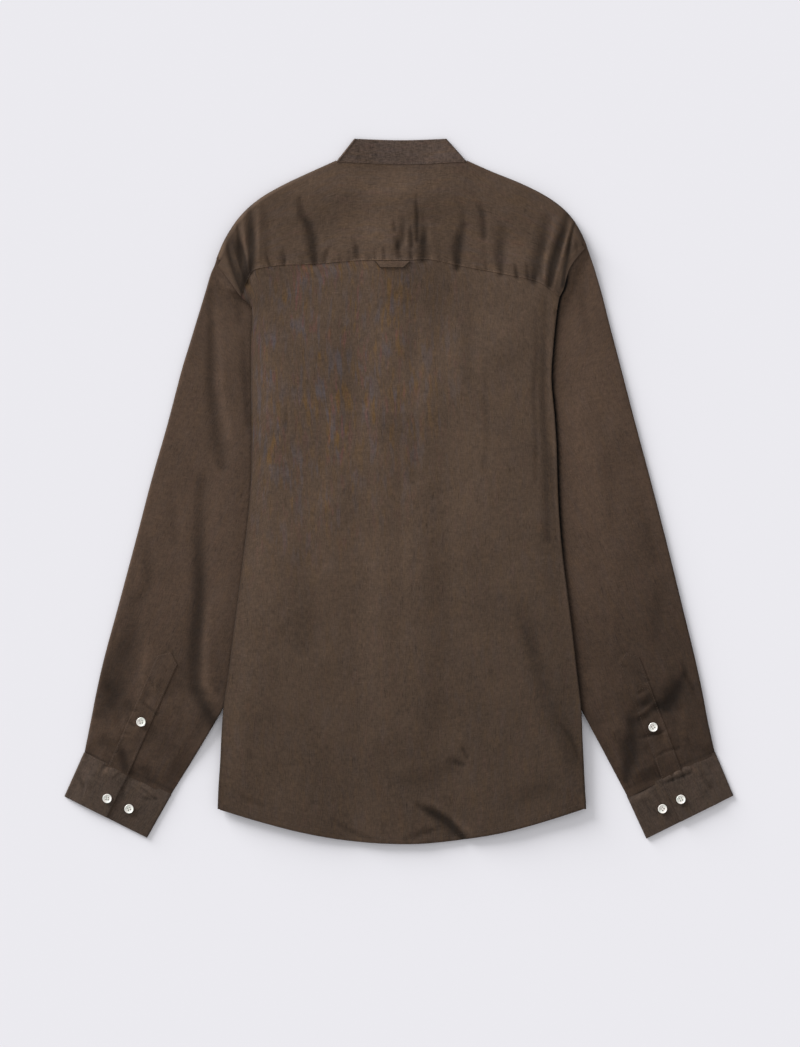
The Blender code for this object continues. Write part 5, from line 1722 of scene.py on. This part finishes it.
def button_mesh():
    """A round four-hole button of shell, with a raised rim and a dished middle, its back on z = 0."""
    radius, thick = BUTTON_RADIUS, BUTTON_THICK
    section = [(0.0, 0.0), (radius * BACK_FLAT, 0.0)]
    for angle in half_turn(8)[::-1]:
        out = 1 - ROUND_EDGE + ROUND_EDGE * math.cos(angle)
        section.append((radius * out, thick * 0.5 + thick * 0.5 * math.sin(angle)))
    for share in np.linspace(0.0, 1.0, 7)[1:]:
        dished = thick * DISH_DEPTH * float(smooth_step(share))
        section.append((radius * RIM_INSIDE - RIM_WIDTH * share, thick - dished))
    section.append((0.0, thick * DISH_MIDDLE))
    mesh = bmesh.new()
    points = [mesh.verts.new((r, 0.0, z)) for r, z in section]
    edges = [mesh.edges.new(pair) for pair in zip(points, points[1:])]
    bmesh.ops.spin(mesh, geom=points + edges, cent=(0, 0, 0), axis=(0, 0, 1), angle=2 * math.pi, steps=40,
                   use_merge=True)
    bmesh.ops.remove_doubles(mesh, verts=mesh.verts, dist=0.00001)
    bmesh.ops.recalc_face_normals(mesh, faces=mesh.faces)
    disc = object_of("button_blank", mesh, [PEARL])
    drill = bmesh.new()
    for x in (-HOLE_OFF, HOLE_OFF):
        for y in (-HOLE_OFF, HOLE_OFF):
            bmesh.ops.create_cone(drill, cap_ends=True, segments=14, radius1=HOLE_RADIUS, radius2=HOLE_RADIUS,
                                  depth=thick * 3, matrix=Matrix.Translation((x, y, thick / 2)))
    cutter = object_of("button_drill", drill, [PEARL])
    holes = disc.modifiers.new("Holes", "BOOLEAN")
    holes.object = cutter
    holes.operation = "DIFFERENCE"
    finished(disc, math.radians(40))
    found = disc.data
    for thing in (disc, cutter):
        bpy.data.objects.remove(thing, do_unlink=True)
    return found


BUTTON = button_mesh()


def add_thread(mesh, start, end, radius):
    """Adds a short thread between two points."""
    start, end = Vector(start), Vector(end)
    turn = (end - start).to_track_quat("Z", "Y").to_matrix().to_4x4()
    bmesh.ops.create_cone(mesh, cap_ends=True, segments=8, radius1=radius, radius2=radius,
                          depth=(end - start).length, matrix=Matrix.Translation((start + end) / 2) @ turn)


def button(node, turn, face_up=True):
    """A button in its solid's place, sewn on through its four holes."""
    low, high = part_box(node)
    middle = (low + high) / 2
    mesh = bmesh.new()
    mesh.from_mesh(BUTTON)
    before = len(mesh.faces)
    top, back = BUTTON_THICK * THREAD_TOP, -BUTTON_GAP - SHANK_BELOW
    for x in (-HOLE_OFF, HOLE_OFF):
        for lift in (0.0, THREAD_LIFT):
            ends = [(x + lift, y, top + lift) for y in (-HOLE_OFF, HOLE_OFF)]
            add_thread(mesh, *ends, THREAD_RADIUS)
        for y in (-HOLE_OFF, HOLE_OFF):
            add_thread(mesh, (x, y, top), (x / 2, y / 2, back), SHANK_RADIUS)
    mesh.faces.ensure_lookup_table()
    for face in mesh.faces[before:]:
        face.material_index = 1
        face.smooth = True
    place = Matrix.Translation((middle.x, middle.y, low.z))
    if not face_up:
        place = place @ Matrix.Translation((0, 0, BUTTON_THICK)) @ Matrix.Rotation(math.pi, 4, "X")
    bmesh.ops.transform(mesh, matrix=place @ Matrix.Rotation(turn, 4, "Z"), verts=mesh.verts)
    return belongs(object_of(node + "_pearl", mesh, [PEARL, PALE_THREAD]), "button", node)


def buttons():
    """The buttons of the sleeves, face up, and those of the front and collar, face down."""
    turns = {"placket": 20, "cuff_outer": 8, "cuff_inner": 35}
    for side in SIDES:
        for where, turn in turns.items():
            button(f"button_{where}_{SIDE_NAMES[side]}", math.radians(turn + 15 * side))
    for k in range(FRONT_BUTTONS):
        button(f"button_front_{k + 1}", math.radians(11 * k), face_up=False)
    button("button_collar", math.radians(30), face_up=False)


# Studio

# Camera: the photo's height in pixels and the size of one on the shirt, then the view's middle and distance
PHOTO_HEIGHT = 1047
METRES_PER_PIXEL = 0.00115
VIEW_MIDDLE = (-0.0017, -0.0371)
CAMERA_HEIGHT = 5.0
SENSOR = 36.0

KEY_AZIMUTH = math.radians(134)
KEY_FROM_UPRIGHT = math.radians(76)
KEY_STRENGTH = 5.08
KEY_SPREAD = math.radians(32)
FILL_STRENGTH = 0.64
FLOOR_COLOUR = srgb(232, 231, 236)
FLOOR_SIZE = 40.0


def camera():
    """Straight down on the shirt, through a long lens, with the collar at the top of the frame."""
    data = bpy.data.cameras.new("camera")
    data.sensor_width = SENSOR
    data.lens = SENSOR * CAMERA_HEIGHT / (PHOTO_HEIGHT * METRES_PER_PIXEL)
    data.clip_end = 100.0
    eye = bpy.data.objects.new("camera", data)
    eye.location = (*VIEW_MIDDLE, CAMERA_HEIGHT)
    bpy.context.scene.collection.objects.link(eye)
    bpy.context.scene.camera = eye


def lights():
    """A low soft key from beyond the left shoulder, and an even fill from all round."""
    data = bpy.data.lights.new("key", "SUN")
    data.energy = KEY_STRENGTH
    data.angle = KEY_SPREAD
    key = bpy.data.objects.new("key", data)
    out = math.sin(KEY_FROM_UPRIGHT)
    towards = Vector((math.cos(KEY_AZIMUTH) * out, math.sin(KEY_AZIMUTH) * out, math.cos(KEY_FROM_UPRIGHT)))
    key.rotation_euler = towards.to_track_quat("Z", "Y").to_euler()
    key.location = towards * 3
    bpy.context.scene.collection.objects.link(key)
    world = bpy.data.worlds.new("fill")
    world.use_nodes = True
    sky = world.node_tree.nodes["Background"].inputs
    feed(world.node_tree, sky, {"Color": (1.0, 1.0, 1.0, 1.0), "Strength": FILL_STRENGTH})
    bpy.context.scene.world = world
    bpy.context.scene.view_settings.view_transform = "Standard"


def floor():
    """The plain pale floor that the shirt lies on."""
    mesh = bmesh.new()
    bmesh.ops.create_grid(mesh, x_segments=1, y_segments=1, size=FLOOR_SIZE / 2)
    paper, tree, shader = new_finish("pale_paper")
    feed(tree, shader, {"Base Color": FLOOR_COLOUR, "Roughness": 1.0, "Specular IOR Level": 0.0})
    thing = object_of("floor", mesh, [paper])


def main():
    camera()
    lights()
    floor()
    pieces = {
        "back": back_panel(),
        "yoke": yoke(),
        "collar": collar_band(),
        "loop": hanger_loop(),
        "front_band": front_band(),
    }
    for side in SIDES:
        for part, make in (("front", front), ("sleeve", sleeve), ("placket", placket), ("cuff", cuff)):
            pieces[f"{part}_{SIDE_NAMES[side]}"] = make(side)
    rows = sew_body(pieces)
    for side in SIDES:
        rows.update(sew_side(side, pieces))
    buttons()
    laid_sheet(pieces["back"])
    laid_sheet(pieces["yoke"])
    laid_sheet(pieces["collar"])
    laid_sheet(pieces["loop"])
    laid_sheet(pieces["front_band"])
    for name in SIDE_NAMES.values():
        laid_sheet(pieces["front_" + name])
        laid_sheet(pieces["sleeve_" + name])
        laid_sheet(pieces["placket_" + name])
        laid_sheet(pieces["cuff_" + name])


main()
